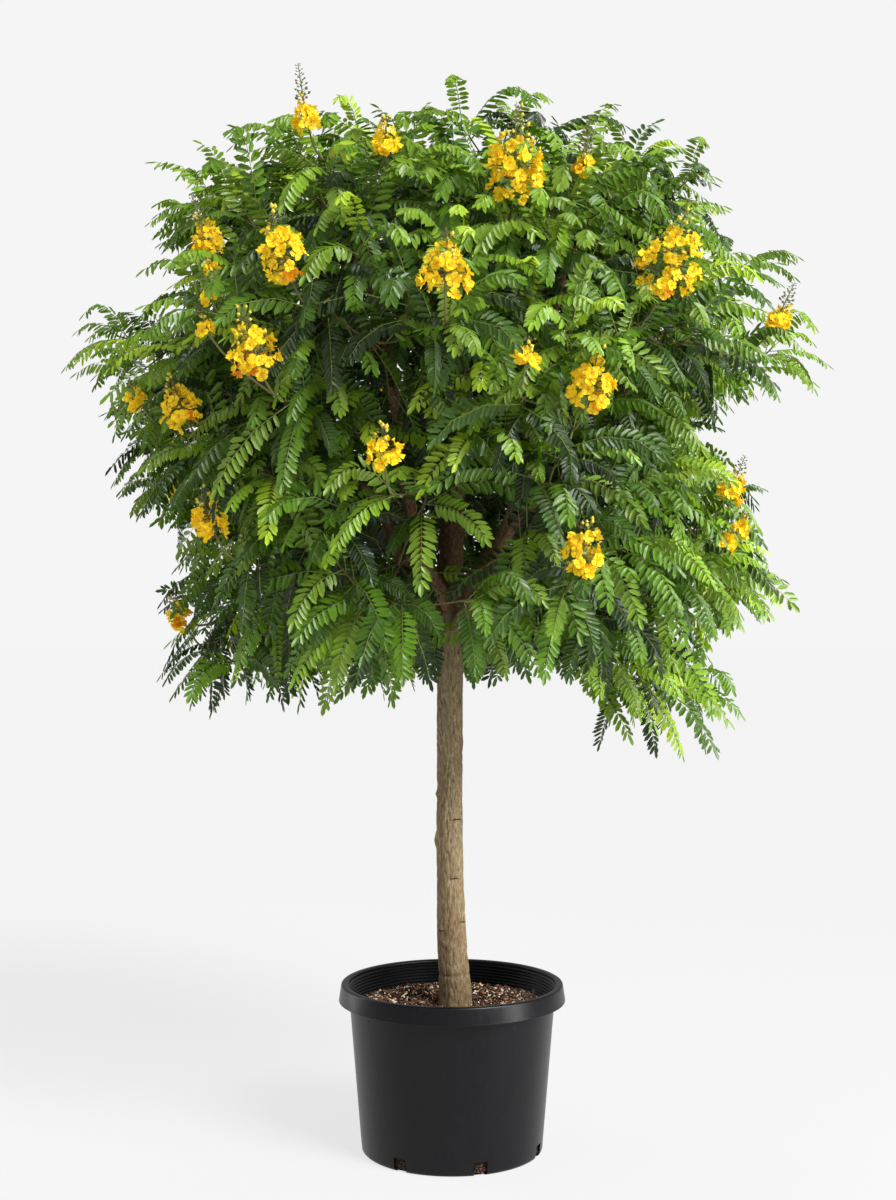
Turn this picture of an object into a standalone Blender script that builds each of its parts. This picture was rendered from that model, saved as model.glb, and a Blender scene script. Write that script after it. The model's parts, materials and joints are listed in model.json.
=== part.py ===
"""A flowering verawood tree, grown as a standard with a round crown, in a black nursery pot.

Metres, +Z up. The origin is the middle of the pot's flat underside. Bearings are in degrees,
counter-clockwise from +X as seen from above, so -Y, the front, is 270. Leans are in degrees
from upright. Each limb and each mass of foliage is an object of its own, and neighbours that
touch on the real tree are CLEAR apart here.
"""

import itertools
import math
import random

import bmesh
import bpy
from mathutils import Matrix, Vector
from mathutils.bvhtree import BVHTree

CLEAR = 0.0003  # gap between two pieces that rest on or grow from each other
UP = Vector((0, 0, 1))
FLAT_ENOUGH = math.radians(0.3)  # faces nearer to one plane than this are joined
MERGE = 2e-6  # points nearer than this are one
SLIMMING = 0.78  # share of a fused mass's triangles that is kept
GOLDEN_TURN = 137.5  # degrees between one shoot and the next round a stem

# ---- Pot and soil ----
POT_HEIGHT = 0.370
POT_FOOT_RADIUS = 0.200
POT_NECK_RADIUS = 0.2270  # just under the rolled rim
POT_NECK_HEIGHT = 0.332
POT_WALL = 0.0045
POT_SIDES = 32
FOOT_BEVEL = 0.005
RIM_INNER_RADIUS = 0.230
RIM_TOP_RADIUS = 0.2456
RIM_LIP_RADIUS = 0.2507  # the rim's lower edge, half a metre across
RIM_WALL = 0.004
SOIL_HEIGHT = 0.320
SOIL_DOME = 0.004
DRAIN_HOLES = 7
DRAIN_FIRST_BEARING = 287.5
DRAIN_SIZE = 0.030

# ---- Trunk and boughs ----
FORK_HEIGHT = 1.235
TRUNK_SIDES = 12
# (height, radius, drift along X of the middle)
TRUNK_SECTIONS = (
    (SOIL_HEIGHT + CLEAR, 0.0370, 0.008),
    (0.345, 0.0355, 0.008),
    (0.385, 0.0336, 0.005),
    (0.430, 0.0320, 0.001),
    (0.500, 0.0308, -0.0015),
    (0.560, 0.0298, -0.003),
    (0.690, 0.0283, -0.0055),
    (0.820, 0.0274, -0.0045),
    (0.950, 0.0278, -0.005),
    (1.060, 0.0285, -0.004),
    (1.150, 0.0290, 0.001),
    (1.205, 0.0262, 0.003),
    (FORK_HEIGHT, 0.0200, 0.005),
)
LIMB_STEPS = 8
BOUGH_SIDES = 6
BOUGH_RADII = (0.0170, 0.0080)
SIDE_LIMB_STEPS = 4
SIDE_LIMB_SIDES = 6
SIDE_LIMB_RADII = (0.0112, 0.0078)
SWAY = 14  # degrees that a bough wanders to either side of its bearing

# name: (bearing, height on the trunk, leans along it, length)
BOUGHS = {
    "left": (168, 1.165, (60, 34, 14, 12, 22, 34, 44), 0.84),
    "front_left": (236, 1.195, (48, 26, 14, 16, 26, 40), 0.81),
    "front_right": (304, 1.150, (62, 42, 18, 14, 26, 40), 0.85),
    "right": (6, 1.200, (36, 34, 22, 14, 20, 32), 0.83),
    "back": (88, 1.180, (52, 30, 14, 16, 26, 40), 0.83),
}
LEADER = (20, (1, 4, 5, 8, 11), 0.72)

# tier: (share of the bough where its limb starts, turn from the bough's bearing, leans, length)
SIDE_LIMBS = {
    "shoulder": (0.53, 19, (32, 54, 66), 0.30),
    "waist": (0.26, -15, (50, 64, 78), 0.29),
    "skirt": (0.13, 22, (66, 84, 96), 0.24),
}

# ---- Crown ----
# (height, reach towards -X, reach towards +X) of the furthest leaf tips
CROWN_PROFILE = (
    (0.87, 0.42, 0.62),
    (1.00, 0.61, 0.66),
    (1.25, 0.67, 0.74),
    (1.50, 0.74, 0.72),
    (1.74, 0.86, 0.84),
    (1.98, 0.70, 0.75),
    (2.12, 0.62, 0.60),
    (2.22, 0.46, 0.47),
    (2.30, 0.28, 0.30),
    (2.36, 0.12, 0.12),
)
CROWN_WAVES = 5  # bulges round the crown
CROWN_WAVE = 0.03
UNDERSIDE = 1.03  # height of the lowest leaf tips at the front and back
LEFT_DIP = 0.06  # how much further they hang towards -X
RIGHT_DIP = 0.16  # and towards +X
HOLLOW_MIDDLE = Vector((0, 0, 1.30))  # the open space among the boughs
HOLLOW_SIZE = Vector((0.20, 0.20, 0.20))
MASS_MARGIN = 0.002  # from the border between two masses
LIMB_MARGIN = 0.001  # from leaves and twigs to any limb

# tier: lean of the mass's stem towards the outside, lift of its twigs
MASS_TIERS = {
    "crown": (8, 0.35),
    "top": (40, 0.20),
    "shoulder": (76, 0.05),
    "waist": (92, -0.10),
    "skirt": (118, -0.30),
}
STEM_RADII = (0.0075, 0.0050)
STEM_STEPS = 3
TWIGS = 6
TWIG_RADII = (0.0030, 0.0045, 0.0034)
TWIG_OPENING = 62
TIP_ROOT = 0.010  # how far back from a twig's end its last leaf is rooted
TWIG_SHORTEST = 0.04
TWIG_LONGEST = 0.30

LEAF_POINTS = 7
LEAF_LENGTH = 0.280
LEAF_HALF_WIDTH = 0.21  # the rest are shares of the leaf's length
LEAF_OUTER_HALF_WIDTH = 0.155
LEAF_KEEL = 0.032
LEAF_ARCH = 0.16
LEAF_KEEL_AT = 0.20
LEAF_WIDEST = 0.42
LEAF_OUTER = 0.78
LEAF_STALK = 0.09  # this much of two leaves may meet at their common twig
LEAF_SCALES = (1.0, 0.85, 0.72)
LEAF_TRIES = 8
LEAVES_IN_MASS = 22
LEAF_CANDIDATES = 60
LEAF_APART = 0.05  # least distance between the middles of two leaves
LEAF_STRETCH = 1.25  # most that a twig's last leaf is lengthened to reach the edge

# ---- Blossom: (bearing, height, height of the cluster) ----
FRONT_RACEMES = (
    (242, 2.15, 0.15),
    (257, 2.12, 0.11),
    (282, 2.03, 0.19),
    (297, 2.08, 0.14),
    (221, 1.93, 0.12),
    (246, 1.84, 0.13),
    (269, 1.79, 0.13),
    (306, 1.84, 0.19),
    (326, 1.77, 0.11),
    (241, 1.67, 0.14),
    (207, 1.63, 0.10),
    (222, 1.59, 0.12),
    (291, 1.61, 0.15),
    (259, 1.49, 0.11),
    (224, 1.36, 0.12),
    (292, 1.30, 0.12),
    (334, 1.43, 0.13),
    (196, 1.18, 0.10),
)
BACK_RACEMES = 10
RACEME_SIDES = 5
RACEME_SHAPE = ((0.0, 0.03), (0.22, 0.40), (0.58, 0.27))  # (share up, radius)


# ---- Materials and objects ----
def material(name, colour, roughness):
    made = bpy.data.materials.new(name)
    made.use_nodes = True
    shader = made.node_tree.nodes["Principled BSDF"]
    shader.inputs["Base Color"].default_value = (*colour, 1)
    shader.inputs["Roughness"].default_value = roughness
    return made


def clear_scene():
    for obj in list(bpy.data.objects):
        bpy.data.objects.remove(obj, do_unlink=True)


def new_collection(name):
    made = bpy.data.collections.new(name)
    bpy.context.scene.collection.children.link(made)
    return made


def mesh_object(name, mesh, collection, look=None):
    obj = bpy.data.objects.new(name, mesh)
    collection.objects.link(obj)
    if look:
        mesh.materials.clear()
        mesh.materials.append(look)
    return obj


def mesh_of(verts, faces):
    mesh = bpy.data.meshes.new("shape")
    mesh.from_pydata([tuple(v) for v in verts], [], faces)
    shape = bmesh.new()
    shape.from_mesh(mesh)
    bmesh.ops.recalc_face_normals(shape, faces=shape.faces)
    shape.to_mesh(mesh)
    shape.free()
    return mesh


def apply_modifiers(obj):
    graph = bpy.context.evaluated_depsgraph_get()
    mesh = bpy.data.meshes.new_from_object(obj.evaluated_get(graph))
    obj.modifiers.clear()
    obj.data = mesh


def remove(objects):
    for obj in list(objects):
        bpy.data.objects.remove(obj, do_unlink=True)


def islands(shape):
    """The separate bodies of a bmesh, each as a list of its faces."""
    seen, found = set(), []
    for first in shape.faces:
        if first.index in seen:
            continue
        seen.add(first.index)
        body, queue = [], [first]
        while queue:
            face = queue.pop()
            body.append(face)
            for edge in face.edges:
                for other in edge.link_faces:
                    if other.index not in seen:
                        seen.add(other.index)
                        queue.append(other)
        found.append(body)
    return found


def keep_main_body(obj, flat=FLAT_ENOUGH, merge=MERGE):
    """Drops loose scraps and sealed hollows, and returns the places where it isn't closed."""
    shape = bmesh.new()
    shape.from_mesh(obj.data)
    bmesh.ops.remove_doubles(shape, verts=shape.verts, dist=merge)
    if flat:
        bmesh.ops.dissolve_limit(
            shape, angle_limit=flat, verts=shape.verts, edges=shape.edges
        )
    bmesh.ops.triangulate(shape, faces=shape.faces)
    shape.faces.ensure_lookup_table()
    shape.faces.index_update()
    bodies = sorted(islands(shape), key=len)
    scraps = [face for body in bodies[:-1] for face in body]
    bmesh.ops.delete(shape, geom=scraps, context="FACES")
    faults = [edge.verts[0].co.copy() for edge in shape.edges if len(edge.link_faces) != 2]
    shape.to_mesh(obj.data)
    shape.free()
    return faults


# ---- Pot and soil ----
def turned(name, profile, collection, look):
    """A shape turned round Z from (radius, height) points that run down its outer side."""
    mesh = bpy.data.meshes.new(name)
    steps = [(i, i + 1) for i in range(len(profile) - 1)]
    mesh.from_pydata([(radius, 0, height) for radius, height in profile], steps, [])
    obj = mesh_object(name, mesh, collection, look)
    screw = obj.modifiers.new("Turn", "SCREW")
    screw.steps = screw.render_steps = POT_SIDES
    screw.use_merge_vertices = True
    screw.merge_threshold = 0.0001
    return obj


def wall_radius(height):
    """Outer radius of the pot's tapered wall."""
    taper = (POT_NECK_RADIUS - POT_FOOT_RADIUS) / POT_NECK_HEIGHT
    return POT_FOOT_RADIUS + taper * height


def build_pot(parts, cutters, look):
    fold = POT_HEIGHT - RIM_WALL
    profile = (
        (0, POT_WALL),
        (wall_radius(POT_WALL) - POT_WALL, POT_WALL),
        (wall_radius(SOIL_HEIGHT) - POT_WALL, SOIL_HEIGHT),
        (RIM_INNER_RADIUS - 0.001, POT_HEIGHT - 0.004),
        (RIM_INNER_RADIUS + 0.001, POT_HEIGHT),
        (RIM_TOP_RADIUS - 0.003, POT_HEIGHT),
        (RIM_TOP_RADIUS, POT_HEIGHT - 0.003),
        (RIM_LIP_RADIUS, POT_NECK_HEIGHT),
        (RIM_LIP_RADIUS - RIM_WALL, POT_NECK_HEIGHT),
        (RIM_TOP_RADIUS - RIM_WALL, fold),
        (RIM_INNER_RADIUS + RIM_WALL, fold),
        (POT_NECK_RADIUS, POT_NECK_HEIGHT),
        (POT_FOOT_RADIUS, FOOT_BEVEL),
        (POT_FOOT_RADIUS - FOOT_BEVEL, 0),
        (0, 0),
    )
    pot = turned("pot", profile, parts, look)
    for k in range(DRAIN_HOLES):
        turn = math.radians(DRAIN_FIRST_BEARING + 360 / DRAIN_HOLES * k)
        bpy.ops.mesh.primitive_cube_add(size=DRAIN_SIZE)
        hole = bpy.context.active_object
        hole.name = f"drain_cutter_{k + 1}"
        out = POT_FOOT_RADIUS
        hole.location = (out * math.cos(turn), out * math.sin(turn), DRAIN_SIZE / 2 - 0.0005)
        hole.rotation_euler = (0, 0, turn)
        for collection in list(hole.users_collection):
            collection.objects.unlink(hole)
        cutters.objects.link(hole)
        hole.hide_render = True
        hole.display_type = "WIRE"
    drain = pot.modifiers.new("Drain holes", "BOOLEAN")
    drain.operand_type = "COLLECTION"
    drain.collection = cutters


def build_soil(parts, look):
    inner = POT_WALL + 0.0006
    floor = POT_WALL + CLEAR
    profile = (
        (0, SOIL_HEIGHT),
        (0.055, SOIL_HEIGHT),
        (0.150, SOIL_HEIGHT + SOIL_DOME),
        (wall_radius(SOIL_HEIGHT) - inner - 0.001, SOIL_HEIGHT - SOIL_DOME),
        (wall_radius(floor) - inner, floor),
        (0, floor),
    )
    turned("soil", profile, parts, look)


# ---- Trunk and limbs ----
def direction(bearing, lean):
    b, a = math.radians(bearing), math.radians(lean)
    return Vector((math.sin(a) * math.cos(b), math.sin(a) * math.sin(b), math.cos(a)))


def between(values, share):
    """Reads a list of evenly spaced values at a share from 0 to 1 of its length."""
    place = min(max(share, 0), 1) * (len(values) - 1)
    low = min(int(place), len(values) - 2)
    return values[low] + (values[low + 1] - values[low]) * (place - low)


def limb_line(start, bearing, leans, length, steps, sway):
    points = [Vector(start)]
    for k in range(steps):
        share = (k + 0.5) / steps
        turn = bearing + sway * math.sin(2 * math.pi * share + math.radians(bearing))
        points.append(points[-1] + direction(turn, between(leans, share)) * length / steps)
    return points


def tapered(radii, count):
    """Radii from the collar to the tip, quick to narrow at first."""
    return [radii[1] + (radii[0] - radii[1]) * (1 - k / (count - 1)) ** 1.3 for k in range(count)]


def tube(points, radii, sides, grow=0.0):
    """A closed mesh round a line of points: a bevelled curve with filled caps, grown by grow."""
    points = [point.copy() for point in points]
    points[0] -= (points[1] - points[0]).normalized() * grow
    points[-1] += (points[-1] - points[-2]).normalized() * grow
    curve = bpy.data.curves.new("line", "CURVE")
    curve.dimensions = "3D"
    curve.bevel_depth = 1.0
    curve.bevel_resolution = (sides - 4) // 2
    curve.use_fill_caps = True
    spline = curve.splines.new("POLY")
    spline.points.add(len(points) - 1)
    for place, point, radius in zip(spline.points, points, radii):
        place.co = (*point, 1)
        place.radius = radius + grow
    holder = bpy.data.objects.new("line", curve)
    bpy.context.scene.collection.objects.link(holder)
    graph = bpy.context.evaluated_depsgraph_get()
    mesh = bpy.data.meshes.new_from_object(holder.evaluated_get(graph))
    remove([holder])
    shape = bmesh.new()
    shape.from_mesh(mesh)
    bmesh.ops.remove_doubles(shape, verts=shape.verts, dist=1e-6)
    bmesh.ops.recalc_face_normals(shape, faces=shape.faces)
    shape.to_mesh(mesh)
    shape.free()
    return mesh


class Limb:
    """The trunk, a bough or a side limb, with the line through its middle."""

    def __init__(self, name, points, radii, sides, look, parts, carrier=None):
        self.name, self.points, self.radii, self.sides = name, points, radii, sides
        self.object = mesh_object(name, tube(points, radii, sides), parts, look)
        if carrier:
            for neighbour in carrier:
                self.cut_clear_of(neighbour)

    def cut_clear_of(self, neighbour):
        shape = tube(neighbour.points, neighbour.radii, neighbour.sides, CLEAR)
        cutter = mesh_object("cutter", shape, bpy.context.scene.collection)
        cut = self.object.modifiers.new("Clear", "BOOLEAN")
        cut.object = cutter
        apply_modifiers(self.object)
        remove([cutter])
        keep_main_body(self.object)

    def at(self, share):
        return (
            Vector([between([p[i] for p in self.points], share) for i in range(3)]),
            between(self.radii, share),
        )

    def tip(self):
        """The middle of the limb's flat end, and the way that it points."""
        return self.points[-1], (self.points[-1] - self.points[-2]).normalized()


def build_limbs(parts, look):
    heights, radii, drifts = zip(*TRUNK_SECTIONS)
    middle = [Vector((x, 0, z)) for x, z in zip(drifts, heights)]
    trunk = Limb("trunk", middle, list(radii), TRUNK_SIDES, look, parts)
    limbs = {"trunk": trunk}

    bearing, leans, length = LEADER
    top, heading = trunk.tip()
    start = top + heading * CLEAR
    line = limb_line(start + heading * 0.03, bearing, leans, length, LIMB_STEPS, SWAY)
    line.insert(0, start)
    widths = [radii[-1]] + tapered(BOUGH_RADII, LIMB_STEPS + 1)
    limbs["leader"] = Limb("leader", line, widths, BOUGH_SIDES, look, parts)

    earlier = [trunk, limbs["leader"]]
    for name, (bearing, height, leans, length) in BOUGHS.items():
        start = Vector((between(drifts, 0.9), 0, height))
        line = limb_line(start, bearing, leans, length, LIMB_STEPS, SWAY)
        widths = tapered(BOUGH_RADII, len(line))
        bough = Limb(f"{name}_bough", line, widths, BOUGH_SIDES, look, parts, earlier)
        limbs[bough.name] = bough
        earlier.append(bough)
    for name, (bearing, *_) in BOUGHS.items():
        bough = limbs[f"{name}_bough"]
        for tier, (share, turn, leans, length) in SIDE_LIMBS.items():
            start, width = bough.at(share)
            line = limb_line(start, bearing + turn, leans, length, SIDE_LIMB_STEPS, 0)
            widths = tapered((min(SIDE_LIMB_RADII[0], width * 0.8), SIDE_LIMB_RADII[1]), len(line))
            full = f"{name}_{tier}_limb"
            limbs[full] = Limb(full, line, widths, SIDE_LIMB_SIDES, look, parts, [bough])
    return limbs


# ---- The crown's space ----
def crown_reach(height, bearing):
    """How far from the trunk's axis the furthest leaf tips are."""
    rows = CROWN_PROFILE
    height = min(max(height, rows[0][0]), rows[-1][0])
    low = max(k for k in range(len(rows) - 1) if rows[k][0] <= height)
    share = (height - rows[low][0]) / (rows[low + 1][0] - rows[low][0])
    left, right = [a + (b - a) * share for a, b in zip(rows[low][1:], rows[low + 1][1:])]
    turn = math.radians(bearing)
    wave = CROWN_WAVE * math.sin(CROWN_WAVES * turn + height * 9) * abs(math.sin(turn))
    return (left + (right - left) * (1 + math.cos(turn)) / 2) * (1 + wave)


def bearing_of(point):
    return math.degrees(math.atan2(point.y, point.x))


def in_crown(point):
    bearing = bearing_of(point)
    side = math.cos(math.radians(bearing))
    dip = (RIGHT_DIP if side > 0 else LEFT_DIP) * side**2
    if not UNDERSIDE - dip < point.z < CROWN_PROFILE[-1][0]:
        return False
    if math.hypot(point.x, point.y) > crown_reach(point.z, bearing):
        return False
    inner = point - HOLLOW_MIDDLE
    return sum((inner[i] / HOLLOW_SIZE[i]) ** 2 for i in range(3)) > 1


class Space:
    """What one mass keeps to: the part of the crown nearer to its heart than to any other."""

    def __init__(self, heart, hearts):
        self.borders = []
        for other in hearts:
            if other is not heart:
                out = (other - heart).normalized()
                self.borders.append((out, out.dot((heart + other) / 2) - MASS_MARGIN))

    def owns(self, point):
        return all(out.dot(point) < limit for out, limit in self.borders)

    def holds(self, point):
        return self.owns(point) and in_crown(point)

    def room(self, start, heading, step=0.01):
        """How far a straight line runs before it leaves the space."""
        far = step
        while far < 1.2 and self.holds(start + heading * far):
            far += step
        return far - step


# ---- Twigs, leaves and blossom, each as (verts, triangles) ----
def perpendicular(heading):
    side = heading.cross(UP)
    return side.normalized() if side.length > 0.05 else Vector((1, 0, 0))


def loft(rings):
    """A closed skin over rings of equal count, from a flat first ring to a ring or a point."""
    verts, faces, count = [], [], len(rings[0])
    for ring in rings:
        verts.extend(ring)
    faces += [(0, k + 1, k) for k in range(1, count - 1)]
    for level in range(len(rings) - 1):
        low, high = level * count, (level + 1) * count
        for k in range(count):
            after = (k + 1) % count
            if len(rings[level + 1]) == 1:
                faces.append((low + k, low + after, high))
            else:
                faces.append((low + k, low + after, high + after))
                faces.append((low + k, high + after, high + k))
    if len(rings[-1]) == count:
        last = len(verts) - count
        faces += [(last, last + k, last + k + 1) for k in range(1, count - 1)]
    return verts, faces


def ring(middle, heading, radius, count, turn=0.0):
    side = perpendicular(heading)
    other = heading.cross(side)
    angles = [turn + 2 * math.pi * k / count for k in range(count)]
    return [middle + (side * math.cos(a) + other * math.sin(a)) * radius for a in angles]


def twig(points, radii, heading=None):
    """A three-sided tapering twig along a line of points."""
    rings = []
    for k, (point, radius) in enumerate(zip(points, radii)):
        ahead = points[min(k + 1, len(points) - 1)] - points[max(k - 1, 0)]
        along = heading if heading and k == 0 else ahead.normalized()
        rings.append(ring(point, along, radius, 3))
    return loft(rings)


def leaf(root, heading, upward, length):
    """One arching blade with a keel below, which stands for a whole feathered leaf."""
    across = heading.cross(upward).normalized()
    above = across.cross(heading)

    def at(share, side, depth):
        sag = -UP * LEAF_ARCH * share**2
        return root + (heading * share + sag + across * side - above * depth) * length

    verts = [
        at(0, 0, 0),
        at(LEAF_KEEL_AT, 0, LEAF_KEEL),
        at(LEAF_WIDEST, -LEAF_HALF_WIDTH, 0),
        at(LEAF_WIDEST, LEAF_HALF_WIDTH, 0),
        at(LEAF_OUTER, -LEAF_OUTER_HALF_WIDTH, 0),
        at(LEAF_OUTER, LEAF_OUTER_HALF_WIDTH, 0),
        at(1, 0, 0),
    ]
    top = [(0, 3, 2), (2, 3, 5), (2, 5, 4), (4, 5, 6)]
    left = [(0, 2, 1), (2, 4, 1), (4, 6, 1)]
    right = [(0, 1, 3), (3, 1, 5), (5, 1, 6)]
    return verts, top + left + right


def raceme(root, heading, height, rng):
    """A lumpy cluster of flowers with a spike of buds above it."""
    rings = []
    for share, radius in RACEME_SHAPE:
        lumps = ring(root + heading * height * share, heading, 1, RACEME_SIDES, rng.random())
        middle = root + heading * height * share
        swell = [radius * height * rng.uniform(0.85, 1.15) for _ in lumps]
        rings.append([middle + (lump - middle) * size for lump, size in zip(lumps, swell)])
    rings.append([root + heading * height])
    return loft(rings)


def curve_through(start, control, end, steps):
    line = []
    for k in range(steps + 1):
        t = k / steps
        line.append(start * (1 - t) ** 2 + control * 2 * t * (1 - t) + end * t**2)
    return line


def tree_of(shapes):
    verts, faces = [], []
    for some_verts, some_faces in shapes:
        faces += [tuple(i + len(verts) for i in face) for face in some_faces]
        verts += some_verts
    return BVHTree.FromPolygons(verts, faces)


def blade_of(shape):
    """A leaf without its stalk end, which may meet others at their common twig."""
    verts, faces = shape
    return [verts[0].lerp(verts[6], LEAF_STALK)] + verts[1:], faces


class Mass:
    """Twigs and leaves that branch from one stem at the tip of a limb."""

    def __init__(self, name, tier, limb, bearing, seed):
        self.name, self.tier = name, tier
        self.rng = random.Random(seed)
        self.lean, self.lift = MASS_TIERS[tier]
        tip, self.heading = limb.tip()
        self.start = tip + self.heading * CLEAR
        outward = direction(bearing, self.lean)
        far = 0.05
        while in_crown(self.start + outward * far) and far < 1:
            far += 0.01
        far = max(far - LEAF_LENGTH * 0.8, 0.16)
        bend = self.start + self.heading * far * 0.45
        self.stem = curve_through(self.start, bend, self.start + outward * far, STEM_STEPS)
        self.heart = (self.stem[1] + self.stem[2]) / 2
        self.pieces, self.blades, self.middles, self.roots = [], [], [], []
        self.leaves = 0

    def grow(self, hearts, limbs_near, racemes):
        self.space = Space(self.heart, hearts)
        self.limbs_near = limbs_near
        widths = [STEM_RADII[0] + (STEM_RADII[1] - STEM_RADII[0]) * k / STEM_STEPS
                  for k in range(STEM_STEPS + 1)]
        self.pieces.append(twig(self.stem, widths, self.heading))
        for place, height in racemes:
            self.add_raceme(place, height)
        self.end_leaf(self.stem)
        for k in range(TWIGS):
            self.add_twig((k + 0.55) / TWIGS, k * GOLDEN_TURN + self.rng.uniform(-20, 20))
        for share in (0.45, 0.62, 0.79, 0.9):
            self.roots.append(self.stem_at(share))
        while self.leaves < LEAVES_IN_MASS and self.add_furthest_leaf():
            pass

    def clear(self, shape):
        return not BVHTree.FromPolygons(*shape).overlap(self.limbs_near)

    def stem_at(self, share):
        place = share * STEM_STEPS
        low = min(int(place), STEM_STEPS - 1)
        along = self.stem[low + 1] - self.stem[low]
        return self.stem[low] + along * (place - low), along.normalized()

    def add_twig(self, share, azimuth):
        start, along = self.stem_at(share)
        for attempt in range(8):
            turn = math.radians(azimuth + 31 * attempt)
            side = Matrix.Rotation(turn, 3, along) @ perpendicular(along)
            opening = math.radians(TWIG_OPENING)
            heading = along * math.cos(opening) + side * math.sin(opening)
            heading = (heading + UP * self.lift * 0.5).normalized()
            length = min(self.space.room(start, heading) - LEAF_LENGTH * 0.8, TWIG_LONGEST)
            if length < TWIG_SHORTEST:
                continue
            end = start + heading * length
            line = [start, (start + end) / 2 - UP * self.lift * length * 0.15, end]
            shape = twig(line, TWIG_RADII)
            if self.space.holds(end) and self.clear(shape):
                self.pieces.append(shape)
                self.end_leaf(line)
                for low, share_there in ((1, 0.72), (1, 0.28), (0, 0.8), (0, 0.45)):
                    root = line[low].lerp(line[low + 1], share_there)
                    self.roots.append((root, heading))
                return

    def end_leaf(self, line):
        """Carries a twig on with a leaf that reaches the edge of the space."""
        ahead = (line[-1] - line[-2]).normalized()
        root = line[-1] - ahead * TIP_ROOT
        for scale in LEAF_SCALES:
            for attempt in range(LEAF_TRIES):
                aim = (ahead + self.scatter() * 0.1 * attempt).normalized()
                length = LEAF_LENGTH * scale
                if attempt == 0:
                    length *= min(max(self.space.room(root, aim) / length, 0.8), LEAF_STRETCH)
                shape = self.leaf_shape(root, aim, length)
                if self.fits(shape):
                    self.keep_leaf(shape)
                    return

    def add_furthest_leaf(self):
        """Of many possible leaves, keeps the one furthest from those that are there."""
        best, widest = None, LEAF_APART
        for _ in range(LEAF_CANDIDATES):
            place = self.rng.randrange(len(self.roots))
            root, along = self.roots[place]
            out = Vector((root.x, root.y, 0)).normalized()
            aim = (along * 0.5 + out * 0.5 + UP * self.lift + self.scatter() * 1.2).normalized()
            length = LEAF_LENGTH * self.rng.uniform(0.8, 1.1)
            shape = self.leaf_shape(root, aim, length)
            middle = root + aim * length * 0.6
            gap = min([(middle - other).length for other in self.middles] or [1.0])
            if gap > widest and self.fits(shape):
                best, widest = (shape, place), gap
        if best:
            self.keep_leaf(best[0])
            if len(self.roots) > 1:
                self.roots.pop(best[1])
        return best

    def scatter(self):
        return Vector([self.rng.uniform(-1, 1) for _ in range(3)])

    def leaf_shape(self, root, aim, length):
        out = Vector((root.x, root.y, 0)).normalized()
        facing = (UP * 0.8 + out * 0.8 + self.scatter() * 0.35).normalized()
        if abs(facing.dot(aim)) > 0.9:
            facing = (UP * 0.9 - out * 0.5).normalized()
        return leaf(root, aim, facing, length)

    def fits(self, shape):
        if not all(self.space.holds(vert) for vert in shape[0][1:]) or not self.clear(shape):
            return False
        blade = BVHTree.FromPolygons(*blade_of(shape))
        return not any(blade.overlap(other) for other in self.blades)

    def keep_leaf(self, shape):
        self.pieces.append(shape)
        self.blades.append(BVHTree.FromPolygons(*blade_of(shape)))
        self.middles.append(shape[0][0].lerp(shape[0][6], 0.6))
        self.leaves += 1

    def add_raceme(self, place, height):
        """Brings a flowering shoot from the stem to its place on the outside of the crown."""
        shares = [k / 8 + self.rng.uniform(-0.03, 0.03) for k in range(2, 8)]
        nearest = min((self.stem_at(share)[0] for share in shares),
                      key=lambda point: (point - place).length)
        out = Vector((place.x, place.y, 0)).normalized()
        heading = (out * 0.45 + UP).normalized()
        for pull in range(16):
            root = place + (self.heart - place) * 0.03 * pull
            shape = raceme(root, heading, height * (1 - 0.02 * pull), self.rng)
            bend = (nearest + root) / 2 - UP * 0.02
            shoot = twig([nearest, bend, root + heading * 0.01], TWIG_RADII)
            inside = all(self.space.owns(vert) for vert in shape[0] + shoot[0])
            if inside and self.clear(shape) and self.clear(shoot):
                self.pieces += [shoot, shape]
                self.blades.append(BVHTree.FromPolygons(*shape))
                self.roots.append((nearest.lerp(bend, 0.8), (bend - nearest).normalized()))
                return
        print(f"{self.name}: no room for a raceme at {tuple(round(c, 2) for c in place)}")

    def fuse(self, parts, look):
        """Joins the pieces into one closed body with a single Boolean union."""
        cleaning = ((FLAT_ENOUGH, MERGE), (FLAT_ENOUGH, MERGE / 20), (0, MERGE / 20))
        for solver, (flat, merge) in itertools.product(("EXACT", "MANIFOLD"), cleaning):
            others = new_collection("pieces")
            for shape in self.pieces[1:]:
                mesh_object("piece", mesh_of(*shape), others)
            obj = mesh_object(self.name, mesh_of(*self.pieces[0]), parts, look)
            union = obj.modifiers.new("Fuse", "BOOLEAN")
            union.operation = "UNION"
            union.operand_type = "COLLECTION"
            union.collection = others
            union.solver = solver
            apply_modifiers(obj)
            remove(others.objects)
            bpy.data.collections.remove(others)
            faults = keep_main_body(obj, flat, merge)
            if not faults:
                whole = obj.data
                slim = obj.modifiers.new("Slim", "DECIMATE")
                slim.ratio = SLIMMING
                apply_modifiers(obj)
                if keep_main_body(obj, 0, MERGE / 20):
                    obj.data = whole
                return obj
            remove([obj])
        print(f"{self.name}: fused with one leaf fewer")
        leaves = [shape for shape in self.pieces if len(shape[0]) == LEAF_POINTS]
        faulty = min(leaves, key=lambda shape: min((vert - faults[0]).length for vert in shape[0]))
        self.pieces.remove(faulty)
        self.leaves -= 1
        return self.fuse(parts, look)


def raceme_places():
    rng = random.Random(41)
    listed = list(FRONT_RACEMES)
    for k in range(BACK_RACEMES):
        height = 1.30 + 0.82 * ((k * 0.618) % 1)
        listed.append((4 + 178 * (k + 0.5) / BACK_RACEMES, height, rng.uniform(0.11, 0.17)))
    places = []
    for bearing, height, size in listed:
        reach = crown_reach(height, bearing) - 0.05
        flat = direction(bearing, 90) * reach
        places.append((flat + UP * (height - size * 0.4), size))
    return places


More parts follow.
